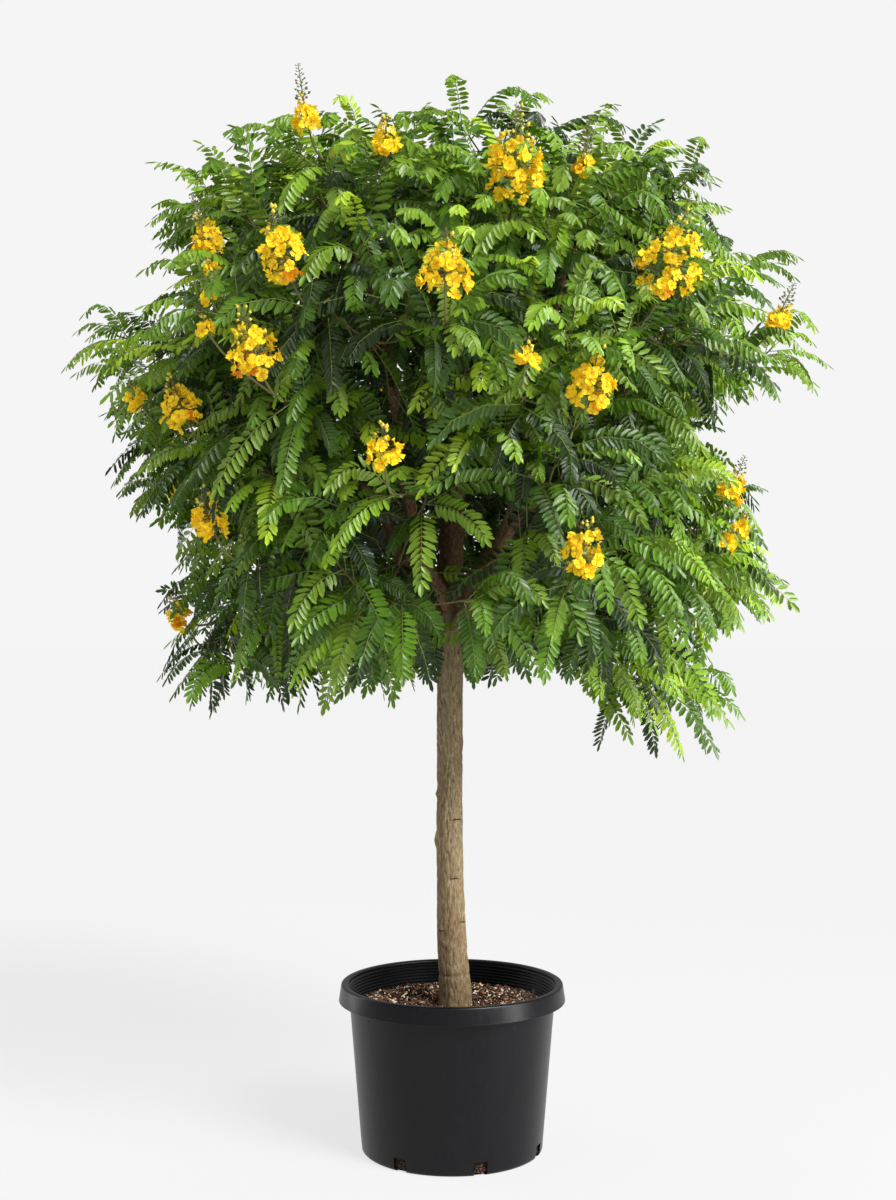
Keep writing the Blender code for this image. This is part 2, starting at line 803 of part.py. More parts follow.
def build_masses(parts, limbs, look):
    masses = [Mass("crown_mass", "crown", limbs["leader"], LEADER[0], 1)]
    for number, (name, (bearing, *_)) in enumerate(BOUGHS.items()):
        seed = 10 * (number + 1)
        masses.append(Mass(f"{name}_top_mass", "top", limbs[f"{name}_bough"], bearing, seed))
        for step, (tier, (_, turn, *_)) in enumerate(SIDE_LIMBS.items()):
            limb = limbs[f"{name}_{tier}_limb"]
            full = f"{name}_{tier}_mass"
            masses.append(Mass(full, tier, limb, bearing + turn, seed + step + 1))
    hearts = [mass.heart for mass in masses]
    grown = []
    for limb in limbs.values():
        mesh = tube(limb.points, limb.radii, limb.sides, LIMB_MARGIN)
        grown.append(([v.co.copy() for v in mesh.vertices], [tuple(p.vertices) for p in mesh.polygons]))
    limbs_near = tree_of(grown)
    racemes = {mass.name: [] for mass in masses}
    for place, size in raceme_places():
        nearest = min(masses, key=lambda mass: (mass.heart - place).length)
        racemes[nearest.name].append((place, size))
    for mass in masses:
        mass.grow(hearts, limbs_near, racemes[mass.name])
        obj = mass.fuse(parts, look)
        print(f"{mass.name}: {mass.leaves} leaves, {len(obj.data.polygons)} triangles")
    return masses


def main():
    clear_scene()
    parts = new_collection("verawood_tree")
    cutters = new_collection("cutters")
    plastic = material("black plastic", (0.018, 0.019, 0.021), 0.45)
    mix = material("potting mix", (0.11, 0.055, 0.03), 0.95)
    bark = material("bark", (0.27, 0.20, 0.13), 0.85)
    green = material("foliage", (0.07, 0.20, 0.03), 0.5)
    limbs = build_limbs(parts, bark)
    masses = build_masses(parts, limbs, green)
    build_pot(parts, cutters, plastic)
    build_soil(parts, mix)
    print(f"{len(limbs)} limbs, {len(masses)} masses, {sum(m.leaves for m in masses)} leaves")


main()
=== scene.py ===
# %% [markdown]
# # A flowering verawood tree in a nursery pot
#
# A young tree grown as a standard: one bare stem, a round crown of feathered leaves, and
# yellow flowers that stand on the ends of its shoots. The solids of the tree come from the
# frame and are never moved. This script puts the real surfaces round them: bark with relief,
# twigs, several thousand feathered leaves, flowers, a moulded pot and its potting mix.

# %% Load the frame
import itertools
import json
import math
from collections import namedtuple

import bmesh
import bpy
import numpy as np
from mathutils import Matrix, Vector, noise
from mathutils.kdtree import KDTree

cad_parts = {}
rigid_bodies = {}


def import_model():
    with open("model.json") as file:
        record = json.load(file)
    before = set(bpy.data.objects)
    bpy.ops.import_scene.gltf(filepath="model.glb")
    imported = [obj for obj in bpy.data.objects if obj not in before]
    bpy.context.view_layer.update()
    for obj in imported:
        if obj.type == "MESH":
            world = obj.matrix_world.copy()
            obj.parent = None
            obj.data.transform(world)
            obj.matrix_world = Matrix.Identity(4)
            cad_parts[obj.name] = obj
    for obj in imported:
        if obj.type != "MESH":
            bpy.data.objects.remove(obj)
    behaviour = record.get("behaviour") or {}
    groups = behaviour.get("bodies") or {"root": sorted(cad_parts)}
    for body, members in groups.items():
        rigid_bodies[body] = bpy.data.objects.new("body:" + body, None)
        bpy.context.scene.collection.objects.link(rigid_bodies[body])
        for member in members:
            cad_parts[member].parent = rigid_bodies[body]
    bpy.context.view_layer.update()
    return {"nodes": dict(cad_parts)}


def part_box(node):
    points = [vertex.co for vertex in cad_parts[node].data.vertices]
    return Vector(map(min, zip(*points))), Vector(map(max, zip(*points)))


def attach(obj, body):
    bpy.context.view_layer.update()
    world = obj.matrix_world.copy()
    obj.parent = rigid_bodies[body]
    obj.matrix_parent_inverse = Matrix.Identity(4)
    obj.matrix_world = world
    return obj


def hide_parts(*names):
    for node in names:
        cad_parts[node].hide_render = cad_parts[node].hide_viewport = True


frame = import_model()

# %% [markdown]
# ## Shader maths as plain expressions
#
# A finish is a material and its node tree. Wiring a tree by hand hides the idea behind the
# links, so a socket is wrapped in a small class whose operators add the Math nodes:
# `streaks + grains * 0.5` then reads like the sum that it is. Colours go through a Mix node,
# since Math turns them grey.

# %% Sockets as values
class Value:
    """One output socket in a finish's node tree."""

    def __init__(self, finish, socket):
        self.finish = finish
        self.socket = socket

    def maths(self, operation, first, second):
        return self.finish.node("Math", {"operation": operation}, {0: first, 1: second})

    def __add__(self, other):
        return self.maths("ADD", self, other)

    def __radd__(self, other):
        return self.maths("ADD", other, self)

    def __mul__(self, other):
        return self.maths("MULTIPLY", self, other)

    def __rmul__(self, other):
        return self.maths("MULTIPLY", other, self)


class Finish:
    """A material whose varying sockets are fed by expressions."""

    def __init__(self, name, **constants):
        self.material = bpy.data.materials.new(name)
        self.material.use_nodes = True
        self.tree = self.material.node_tree
        self.shader = self.tree.nodes["Principled BSDF"]
        for socket, value in constants.items():
            self.shader.inputs[socket.replace("_", " ")].default_value = value

    def feed(self, socket, value):
        if isinstance(value, Value):
            self.tree.links.new(value.socket, socket)
        else:
            socket.default_value = value

    def node(self, kind, settings=None, inputs=None, output=0):
        made = self.tree.nodes.new("ShaderNode" + kind)
        settings = dict(settings or {})
        stops = settings.pop("stops", None)
        for name, value in settings.items():
            setattr(made, name, value)
        if stops:
            while len(made.color_ramp.elements) < len(stops):
                made.color_ramp.elements.new(1)
            for element, (place, colour) in zip(made.color_ramp.elements, stops):
                element.position = place
                element.color = colour
        for name, value in (inputs or {}).items():
            self.feed(made.inputs[name], value)
        return Value(self, made.outputs[output])

    def place(self, stretch=(1, 1, 1)):
        """Points on the object, in metres, with each axis scaled by its stretch."""
        points = self.node("TexCoord", output="Object")
        return self.node("Mapping", inputs={"Vector": points, "Scale": stretch})

    def noise(self, size, stretch=(1, 1, 1), detail=3, roughness=0.55):
        """Noise from 0 to 1 whose lumps are about size metres across."""
        inputs = {"Vector": self.place(stretch), "Scale": 1 / size, "Detail": detail, "Roughness": roughness}
        return self.node("TexNoise", inputs=inputs, output="Fac")

    def between(self, share, low, high):
        """Share 0 to 1 turned into a number from low to high."""
        inputs = {"Value": share, "To Min": low, "To Max": high}
        return self.node("MapRange", inputs=inputs, output="Result")

    def ramp(self, share, *stops):
        return self.node("ValToRGB", {"stops": stops}, {"Fac": share})

    def mix(self, share, first, second, blend="MIX"):
        settings = {"data_type": "RGBA", "blend_type": blend}
        inputs = {0: share, 6: first, 7: second}
        return self.node("Mix", settings, inputs, output=2)

    def colour(self, value):
        self.feed(self.shader.inputs["Base Color"], value)

    def roughness(self, value):
        self.feed(self.shader.inputs["Roughness"], value)

    def bump(self, height, depth, strength=1.0):
        """Relief of the given depth in metres."""
        inputs = {"Height": height, "Distance": depth, "Strength": strength}
        self.feed(self.shader.inputs["Normal"], self.node("Bump", inputs=inputs, output="Normal"))

    def let_light_through(self, share, glow):
        """Mixes a translucent layer into the surface, as thin leaves and petals have."""
        through = self.node("BsdfTranslucent", inputs={"Color": glow}, output="BSDF")
        surface = Value(self, self.shader.outputs[0])
        both = self.node("MixShader", inputs={0: share, 1: surface, 2: through}, output="Shader")
        self.tree.links.new(both.socket, self.tree.nodes["Material Output"].inputs["Surface"])


def two_tone(name, size, first, second, **constants):
    """A finish that wanders between two colours, in lumps of about size metres."""
    finish = Finish(name, **constants)
    finish.colour(finish.mix(finish.noise(size), first, second))
    return finish


def rgb(red, green, blue):
    """A colour picked on screen, from 0 to 255, as the linear values that shaders take."""
    linear = [(v / 255 / 12.92) if v <= 10 else ((v / 255 + 0.055) / 1.055) ** 2.4
              for v in (red, green, blue)]
    return (*linear, 1.0)


# %% [markdown]
# ## Meshes from arrays
#
# A crown has tens of thousands of leaflets. Making each with a modelling tool would take
# hours, so every kind of small thing is worked out as arrays of points and joined as it is
# made. One function turns the arrays into a mesh that rides on the tree.

# %% From arrays to pieces
def unit(vectors):
    return vectors / np.maximum(np.linalg.norm(vectors, axis=-1, keepdims=True), 1e-9)


def round_about(radius, turn, height):
    """Points from their distance from the tree's axis, their turn in radians and their height."""
    return np.stack([radius * np.cos(turn), radius * np.sin(turn), height], -1)


class Heap:
    """Points and triangles of many small shapes that become one piece."""

    def __init__(self):
        self.points, self.faces, self.count = [], [], 0

    def add(self, points, faces):
        points = np.asarray(points, float).reshape(-1, 3)
        self.points.append(points)
        self.faces.append(np.asarray(faces, int).reshape(-1, 3) + self.count)
        self.count += len(points)

    def stamp(self, points, pattern):
        """Adds many shapes alike: points is (shape, point, 3), pattern holds one shape's faces."""
        shapes, each = points.shape[:2]
        offsets = np.arange(shapes)[:, None, None] * each
        self.add(points, np.asarray(pattern)[None] + offsets)

    def piece(self, name, finish, slot, smooth=True):
        points, faces = np.concatenate(self.points), np.concatenate(self.faces)
        mesh = bpy.data.meshes.new(name)
        mesh.vertices.add(len(points))
        mesh.vertices.foreach_set("co", points.astype(np.float32).ravel())
        mesh.loops.add(faces.size)
        mesh.loops.foreach_set("vertex_index", faces.astype(np.int32).ravel())
        mesh.polygons.add(len(faces))
        mesh.polygons.foreach_set("loop_start", np.arange(0, faces.size, 3, dtype=np.int32))
        mesh.update(calc_edges=True)
        mesh.polygons.foreach_set("use_smooth", np.full(len(faces), smooth))
        return dress(bpy.data.objects.new(name, mesh), finish)


def dress(obj, finish):
    """Puts a finished piece in the scene, on the tree's one body."""
    if obj.name not in bpy.context.scene.collection.objects:
        bpy.context.scene.collection.objects.link(obj)
    obj.data.materials.clear()
    obj.data.materials.append(finish.material)
    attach(obj, "root")
    print(f"{obj.name}: {len(obj.data.polygons)} faces")
    return obj


# %% Tubes along lines
def tube_faces(rings, sides):
    """Triangles of one tube: between neighbouring rings, then from the last ring to a point."""
    here = np.arange(sides)
    after = (here + 1) % sides
    low = (np.arange(rings - 1) * sides)[:, None]
    first = np.stack([low + here, low + after, low + sides + after], -1)
    second = np.stack([low + here, low + sides + after, low + sides + here], -1)
    last = (rings - 1) * sides
    tip = np.stack([last + here, last + after, np.full(sides, last + sides)], -1)
    return np.concatenate([first.reshape(-1, 3), second.reshape(-1, 3), tip])


def tube_rings(lines, radii, sides):
    """Rings of points round many lines: lines is (tube, ring, 3), radii is (tube, ring)."""
    along = unit(np.gradient(lines, axis=1))
    helper = np.where(np.abs(along.mean(1))[:, 2:] > 0.8, (1.0, 0, 0), (0, 0, 1.0))[:, None]
    side = unit(np.cross(along, helper))
    other = np.cross(along, side)
    turn = np.linspace(0, 2 * np.pi, sides, endpoint=False)[:, None]
    ring = side[:, :, None] * np.cos(turn) + other[:, :, None] * np.sin(turn)
    return lines[:, :, None] + ring * radii[:, :, None, None]


def add_tubes(heap, lines, radii, sides):
    """Tapering tubes, each closed at its thin end by a point."""
    rings = tube_rings(lines, radii, sides)
    tubes, steps = rings.shape[:2]
    tip = lines[:, -1:] + unit(lines[:, -1:] - lines[:, -2:-1]) * radii[:, -1:, None]
    heap.stamp(np.concatenate([rings.reshape(tubes, -1, 3), tip], 1), tube_faces(steps, sides))


# %% [markdown]
# ## The tree's own plan
#
# The solids follow a plan of named sizes: where the trunk swells, how each bough leans, how
# far the crown reaches. The same plan is written here, so bark, twigs and leaves grow exactly
# where the solids are. Heights and lengths are in metres, bearings in degrees from +X, and
# leans in degrees from upright, so the front of the tree is at 270.

# %% Trunk, boughs and side limbs
CLEAR = 0.0003  # gap between solids that grow from one another
SOIL_HEIGHT = 0.320
FORK_HEIGHT = 1.235
# height, radius, drift of the middle along X
TRUNK_SECTIONS = (
    (SOIL_HEIGHT + CLEAR, 0.0370, 0.008),
    (0.345, 0.0355, 0.008),
    (0.385, 0.0336, 0.005),
    (0.430, 0.0320, 0.001),
    (0.500, 0.0308, -0.0015),
    (0.560, 0.0298, -0.003),
    (0.690, 0.0283, -0.0055),
    (0.820, 0.0274, -0.0045),
    (0.950, 0.0278, -0.005),
    (1.060, 0.0285, -0.004),
    (1.150, 0.0290, 0.001),
    (1.205, 0.0262, 0.003),
    (FORK_HEIGHT, 0.0200, 0.005),
)
LIMB_STEPS = 8
BOUGH_RADII = (0.0170, 0.0080)  # at the foot and at the tip
SIDE_LIMB_STEPS = 4
SIDE_LIMB_RADII = (0.0112, 0.0078)
SWAY = 14  # degrees that a bough winds to each side
LEADER_RISE = 0.03  # straight start of the leader, before its leans
# name: bearing, height on the trunk, leans along it, length
BOUGHS = {
    "left": (168, 1.165, (60, 34, 14, 12, 22, 34, 44), 0.84),
    "front_left": (236, 1.195, (48, 26, 14, 16, 26, 40), 0.81),
    "front_right": (304, 1.150, (62, 42, 18, 14, 26, 40), 0.85),
    "right": (6, 1.200, (36, 34, 22, 14, 20, 32), 0.83),
    "back": (88, 1.180, (52, 30, 14, 16, 26, 40), 0.83),
}
LEADER = (20, (1, 4, 5, 8, 11), 0.72)  # bearing, leans along it, length
# tier: share of the bough where its limb starts, turn from the bough's bearing, leans, length
SIDE_LIMBS = {
    "shoulder": (0.53, 19, (32, 54, 66), 0.30),
    "waist": (0.26, -15, (50, 64, 78), 0.29),
    "skirt": (0.13, 22, (66, 84, 96), 0.24),
}


def direction(bearing, lean):
    b, a = math.radians(bearing), math.radians(lean)
    return np.array((math.sin(a) * math.cos(b), math.sin(a) * math.sin(b), math.cos(a)))


def along(values, share):
    """Reads evenly spaced values at a share from 0 to 1 of their length."""
    return np.interp(share, np.linspace(0, 1, len(values)), values)


def limb_line(start, bearing, leans, length, steps, sway):
    """Points along a limb whose lean changes evenly through leans."""
    points = [np.array(start, float)]
    for k in range(steps):
        share = (k + 0.5) / steps
        turn = bearing + sway * math.sin(2 * math.pi * share + math.radians(bearing))
        points.append(points[-1] + direction(turn, along(leans, share)) * length / steps)
    return np.array(points)


def tapered(radii, count):
    """Radii from a limb's foot to its tip, thinning fastest near the foot."""
    shares = np.linspace(1, 0, count)
    return radii[1] + (radii[0] - radii[1]) * shares ** 1.3


def read_line(line, share):
    """The point at a share of a line's length."""
    return np.array([along(line[:, axis], share) for axis in range(3)]).T


# %% Lines through every limb
heights, trunk_radii, drifts = (np.array(column) for column in zip(*TRUNK_SECTIONS))
trunk_line = np.stack([drifts, np.zeros_like(drifts), heights], 1)
limbs = {}  # name: (line, radii)

heading = unit(trunk_line[-1] - trunk_line[-2])
start = trunk_line[-1] + heading * CLEAR
line = limb_line(start + heading * LEADER_RISE, *LEADER, LIMB_STEPS, SWAY)
leader_radii = np.append(trunk_radii[-1], tapered(BOUGH_RADII, len(line)))
limbs["leader"] = (np.vstack([start, line]), leader_radii)
for name, (bearing, height, leans, length) in BOUGHS.items():
    line = limb_line((along(drifts, 0.9), 0, height), bearing, leans, length, LIMB_STEPS, SWAY)
    limbs[name + "_bough"] = (line, tapered(BOUGH_RADII, len(line)))
for name, (bearing, *_) in BOUGHS.items():
    line, radii = limbs[name + "_bough"]
    for tier, (share, turn, leans, length) in SIDE_LIMBS.items():
        width = min(SIDE_LIMB_RADII[0], along(radii, share) * 0.8)
        side = limb_line(read_line(line, share), bearing + turn, leans, length, SIDE_LIMB_STEPS, 0)
        limbs[f"{name}_{tier}_limb"] = (side, tapered((width, SIDE_LIMB_RADII[1]), len(side)))
for name, (line, radii) in limbs.items():
    low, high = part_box(name)
    middle = np.array((low + high) / 2)
    print(f"{name}: tip {np.round(line[-1], 3)}, solid's box middle {np.round(middle, 3)}")

# %% [markdown]
# ## Bark
#
# Young bark splits into shallow upright fissures, with a few cracks across it and scars where
# twigs were pruned. Bump alone gives that no edge against the light, so the surface is a fine
# grid whose points are moved in and out by stretched noise, and the finish adds the colour.

# %% Relief of the bark
FISSURE_DEPTH = 0.0011
FISSURES_ROUND = 3.8  # radius of the ring that the upright fissures' noise is read on
FISSURE_LENGTH = 0.055
FISSURE_WANDER = 0.036  # share of a full turn that a fissure winds to each side
FULL_TURN = 6.283  # radians
FINE_SIZE = (0.006, 0.006, 0.028)
PORE_SIZE = 0.0030
SWELL_SIZE = (0.05, 0.05, 0.09)
SWELL_HEIGHT = 0.0012
TRUNK_RADIUS = 0.028
# bearing, height, how far the scar stands out, half its size
SCARS = (
    (200, 0.685, 0.0055, 0.016),
    (203, 0.789, 0.0048, 0.008),
    (303, 0.734, -0.0030, 0.013),
    (285, 0.603, -0.0030, 0.014),
    (322, 0.507, -0.0025, 0.009),
    (236, 0.463, 0.0030, 0.010),
    (222, 0.489, 0.0024, 0.008),
    (40, 0.900, 0.0045, 0.012),
    (110, 0.620, 0.0040, 0.014),
)
RING_CRACK = 0.388  # height of the crack that runs round the foot
RING_CRACK_DEPTH = 0.0022


def bark_height(point, share_round):
    """How far a point of the bark stands out, in metres."""
    x, y, z = point
    wander = noise.noise((x * 20, y * 20, z * 9)) * FISSURE_WANDER
    turn = (share_round + wander) * FULL_TURN
    ring = math.cos(turn) * FISSURES_ROUND + 7, math.sin(turn) * FISSURES_ROUND
    ridge = abs(noise.noise((*ring, z / FISSURE_LENGTH)))
    fine = abs(noise.noise(point / FINE_SIZE))
    pore = noise.noise(point / PORE_SIZE)
    fissures = 1.1 - 2.2 * (1 - min(ridge * 3.2, 1)) ** 2 - 0.8 * (1 - min(fine * 3, 1)) ** 2
    return FISSURE_DEPTH * (fissures + 0.22 * pore) + SWELL_HEIGHT * noise.noise(point / SWELL_SIZE)


def scar_height(bearing, height):
    """What the scars add there: a knot is nearly round with a rim, a crack is flat and wide."""
    total = 0.0
    for scar_bearing, scar_z, depth, size in SCARS:
        turn = (bearing - scar_bearing + 180) % 360 - 180
        tall = size * (0.8 if depth > 0 else 0.27)
        away = math.hypot(math.radians(turn) * TRUNK_RADIUS / size, (height - scar_z) / tall)
        if away < 2.4:
            rim = 1.3 * away * math.exp(-2.2 * (away - 0.8) ** 2) * 0.25
            total += depth * (math.exp(-away * away * 1.6) + rim * (1 if depth > 0 else -0.6))
    wander = 0.006 * noise.noise((math.radians(bearing) * 2, 4, 4))
    return total - RING_CRACK_DEPTH * math.exp(-((height - RING_CRACK - wander) / 0.0036) ** 2)


ROUNDING = 0.055  # how far along a limb its bends are rounded off
COLLAR_LENGTH = 0.022
FULL_RELIEF_RADIUS = 0.026  # a thinner limb has shallower bark


def smooth_line(line, radii, step):
    """A limb's line and radii, rounded off and read every step metres."""
    run = np.concatenate([[0], np.cumsum(np.linalg.norm(np.diff(line, axis=0), axis=1))])
    count = max(int(run[-1] / step), 4)
    reads = np.linspace(0, run[-1], count)
    points = np.stack([np.interp(reads, run, line[:, axis]) for axis in range(3)], 1)
    widths = np.interp(reads, run, radii)
    window = max(int(ROUNDING / step), 1)
    kernel = np.hanning(2 * window + 3)[1:-1]
    kernel /= kernel.sum()

    def soft(values):
        ends = 2 * values[0] - values[window:0:-1], 2 * values[-1] - values[-2:-window - 2:-1]
        return np.convolve(np.concatenate([ends[0], values, ends[1]]), kernel, "valid")

    points = np.stack([soft(points[:, axis]) for axis in range(3)], 1)
    return points, soft(widths), reads


def add_bark(heap, line, radii, sides, step, collar=0.0, scars=False, seed=0.0):
    """A limb's skin with bark relief, swollen where it leaves its carrier."""
    points, widths, run = smooth_line(line, radii, step)
    widths = widths * (1 + collar * np.exp(-run / COLLAR_LENGTH))
    rings = tube_rings(points[None], widths[None], sides)[0]
    for level in range(len(points)):
        for k in range(sides):
            spot = rings[level, k]
            out = (spot - points[level]) / widths[level]
            bearing = math.degrees(math.atan2(out[1], out[0]))
            share_round = (bearing % 360) / 360 if scars else k / sides
            high = bark_height(spot + seed, share_round) * min(widths[level] / FULL_RELIEF_RADIUS, 1)
            if scars:
                high += scar_height(bearing, spot[2])
            rings[level, k] = spot + out * high
    tip = points[-1] + unit(points[-1] - points[-2]) * widths[-1] * 0.5
    heap.add(np.vstack([rings.reshape(-1, 3), tip]), tube_faces(len(points), sides))


# %% Bark finishes
FOOT_SHADE_AND_TINT = {"From Min": 0.58, "From Max": 0.38, "To Min": 0.0, "To Max": 0.45}  # height to share of the multiply with the warm colour: painted shade near the soil, and the foot's own warmer bark


def bark_finish(name, pale, tan, dark, warm):
    """Upright streaks from dark fissures to pale ridges, with warm patches, and a foot that is warmer and
    darker: the darkening is painted shade near the soil.
    """
    finish = Finish(name, Roughness=0.9, Specular_IOR_Level=0.25)
    streaks = finish.noise(0.0040, (1, 1, 0.30), detail=5, roughness=0.65)
    patches = finish.noise(0.05, (1, 1, 0.5), detail=2)
    grains = finish.noise(0.0018, detail=2)
    base = finish.ramp(streaks, (0.26, dark), (0.45, tan), (0.66, pale))
    base = finish.mix(finish.between(patches, -0.9, 1.3), base, warm)
    # painted shade: the multiply darkens the bark towards the soil as well as warming the foot
    height = finish.node("SeparateXYZ", inputs={"Vector": finish.place()}, output="Z")
    foot = finish.node("MapRange", inputs={"Value": height, **FOOT_SHADE_AND_TINT}, output="Result")
    base = finish.mix(foot, base, warm, "MULTIPLY")
    finish.colour(finish.mix(finish.between(grains, -0.2, 0.75), base, dark, "MULTIPLY"))
    finish.roughness(finish.between(streaks, 0.95, 0.78))
    finish.bump(streaks + grains * 0.5, 0.0012, 0.7)
    return finish


trunk_bark = bark_finish("trunk bark", rgb(184, 168, 134), rgb(142, 124, 92), rgb(76, 61, 43),
                         rgb(126, 98, 66))
bough_bark = bark_finish("bough bark", rgb(176, 146, 114), rgb(136, 104, 76), rgb(78, 58, 42),
                         rgb(124, 80, 54))

# %% Trunk in its bark
BURIED = 0.006  # the bark goes on this far into the soil
TRUNK_SIDES = 96
TRUNK_STEP = 0.003
trunk_points = np.vstack([trunk_line[:1] - (0, 0, BURIED), trunk_line])
trunk_widths = np.append(trunk_radii[0] + 0.0002, trunk_radii)
heap = Heap()
add_bark(heap, trunk_points, trunk_widths, TRUNK_SIDES, TRUNK_STEP, scars=True)
trunk_piece = heap.piece("trunk_bark", trunk_bark, "trunk_bark")
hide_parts("trunk")

# %% Dark lines of the trunk's cracks, painted shade
# bearing of one end, bearing of the other end, height
CRACKS = ((272, 334, 0.734), (262, 308, 0.603), (302, 346, 0.507), (212, 240, 0.489))
CRACK_WIDTH = 0.0026
CRACK_WANDER = 0.0016
CRACK_STEPS = 14
ABOVE_BARK = 0.0010  # the bark's grid is coarser than these strips, so they lie a little proud
# painted shade: dark strips laid over the cracks' dents stand for the shade inside them
crack_painted_shade = two_tone("painted shade in the cracks", 0.002, rgb(38, 28, 19), rgb(62, 47, 33),
                      Roughness=0.95, Specular_IOR_Level=0.1)
axis, radii, _ = smooth_line(trunk_points, trunk_widths, TRUNK_STEP)
heap = Heap()
for start, end, height in CRACKS:
    rows = []
    for share in np.linspace(0, 1, CRACK_STEPS + 1):
        bearing = start + (end - start) * share
        out = direction(bearing, 90)
        middle = height + CRACK_WANDER * noise.noise((share * 4, height * 9, 0))
        for side in (-0.5, 0, 0.5):
            z = middle + side * CRACK_WIDTH * math.sin(math.pi * share) ** 0.6
            x, y, radius = (np.interp(z, axis[:, 2], values) for values in (axis[:, 0], axis[:, 1], radii))
            spot = np.array((x, y, z)) + out * radius
            high = bark_height(spot, bearing % 360 / 360) + scar_height(bearing, z)
            rows.append(spot + out * (high + ABOVE_BARK))
    faces = []
    for k in range(CRACK_STEPS):
        for low in (3 * k, 3 * k + 1):
            faces += [(low, low + 3, low + 4), (low, low + 4, low + 1)]
    heap.stamp(np.array(rows)[None], faces)
heap.piece("bark_cracks", crack_painted_shade, "trunk_bark")

# %% Boughs in their bark
BOUGH_GRID = (24, 0.0065)  # sides, step along the bough
SIDE_LIMB_GRID = (14, 0.009)
BOUGH_COLLAR = 0.45
SIDE_LIMB_COLLAR = 0.5
for name in ("leader", *(f"{bough}_bough" for bough in BOUGHS)):
    heap = Heap()
    bough = name.removesuffix("_bough")
    collar = 0.0 if name == "leader" else BOUGH_COLLAR
    add_bark(heap, *limbs[name], *BOUGH_GRID, collar=collar, seed=len(bough))
    stands_for = [name]
    for tier in SIDE_LIMBS:
        side = f"{bough}_{tier}_limb"
        if side in limbs:
            add_bark(heap, *limbs[side], *SIDE_LIMB_GRID, collar=SIDE_LIMB_COLLAR, seed=len(side) + 3)
            stands_for.append(side)
    piece = heap.piece(name + "_bark", bough_bark, "bough_bark")
    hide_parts(*stands_for)

# %% [markdown]
# ## The crown's space
#
# The crown is a round head, wider at the height of its shoulders, flat to ragged below and
# open inside where the boughs run. Each mass of foliage keeps to the part of that space
# that is nearer to its own heart than to any other. Shoots and leaves are tested against it.

# %% Reach of the crown
# height, reach towards -X, reach towards +X of the furthest leaf tips
CROWN_PROFILE = np.array((
    (0.87, 0.42, 0.62),
    (1.00, 0.60, 0.63),
    (1.05, 0.65, 0.62),
    (1.10, 0.63, 0.57),
    (1.16, 0.60, 0.68),
    (1.22, 0.67, 0.77),
    (1.26, 0.61, 0.73),
    (1.34, 0.65, 0.71),
    (1.43, 0.74, 0.68),
    (1.49, 0.76, 0.71),
    (1.58, 0.74, 0.63),
    (1.65, 0.76, 0.76),
    (1.70, 0.82, 0.82),
    (1.76, 0.88, 0.82),
    (1.83, 0.85, 0.76),
    (1.88, 0.77, 0.69),
    (1.93, 0.69, 0.78),
    (1.98, 0.635, 0.76),
    (2.03, 0.66, 0.62),
    (2.08, 0.66, 0.57),
    (2.15, 0.65, 0.59),
    (2.19, 0.54, 0.58),
    (2.23, 0.41, 0.52),
    (2.27, 0.34, 0.38),
    (2.31, 0.20, 0.25),
    (2.35, 0.10, 0.16),
))
CROWN_TOP = CROWN_PROFILE[-1, 0]
CROWN_FOOT = CROWN_PROFILE[0, 0]
CROWN_WAVES = 5
CROWN_WAVE = 0.03  # share of the reach that the waves add and take
UNDERSIDE = 1.03
LEFT_DIP = 0.06
RIGHT_DIP = 0.16
HOLLOW_MIDDLE = np.array((0, 0, 1.30))
HOLLOW_SIZE = np.array((0.20, 0.20, 0.20))
# tier: lean of the mass's stem towards the outside
MASS_TIERS = {"crown": 8, "top": 40, "shoulder": 76, "waist": 92, "skirt": 118}
STEM_STEPS = 3
BLADE_LENGTH = 0.280  # of a solid's leaf, which sets how long the stems are
LEAST_STEM = 0.16


def crown_reach(height, turn):
    """How far from the trunk's axis the leaf tips are, at a turn in radians from +X."""
    left = np.interp(height, CROWN_PROFILE[:, 0], CROWN_PROFILE[:, 1])
    right = np.interp(height, CROWN_PROFILE[:, 0], CROWN_PROFILE[:, 2])
    wave = CROWN_WAVE * np.sin(CROWN_WAVES * turn + height * 9) * np.abs(np.sin(turn))
    return (left + (right - left) * (1 + np.cos(turn)) / 2) * (1 + wave)


def underside(turn):
    """Height of the crown's lower edge."""
    side = np.cos(turn)
    return UNDERSIDE - np.where(side > 0, RIGHT_DIP, LEFT_DIP) * side ** 2


def in_crown(points):
    """Whether each point is inside the crown and outside its hollow."""
    points = np.atleast_2d(points)
    turn = np.arctan2(points[:, 1], points[:, 0])
    inner = (points - HOLLOW_MIDDLE) / HOLLOW_SIZE
    return ((points[:, 2] > underside(turn)) & (points[:, 2] < CROWN_TOP)
            & (np.hypot(points[:, 0], points[:, 1]) < crown_reach(points[:, 2], turn))
            & ((inner ** 2).sum(1) > 1))


def curve_through(start, control, end, steps):
    """Points from start to end along a curve that bends towards control."""
    t = np.linspace(0, 1, steps + 1)[:, None]
    return start * (1 - t) ** 2 + control * 2 * t * (1 - t) + end * t ** 2


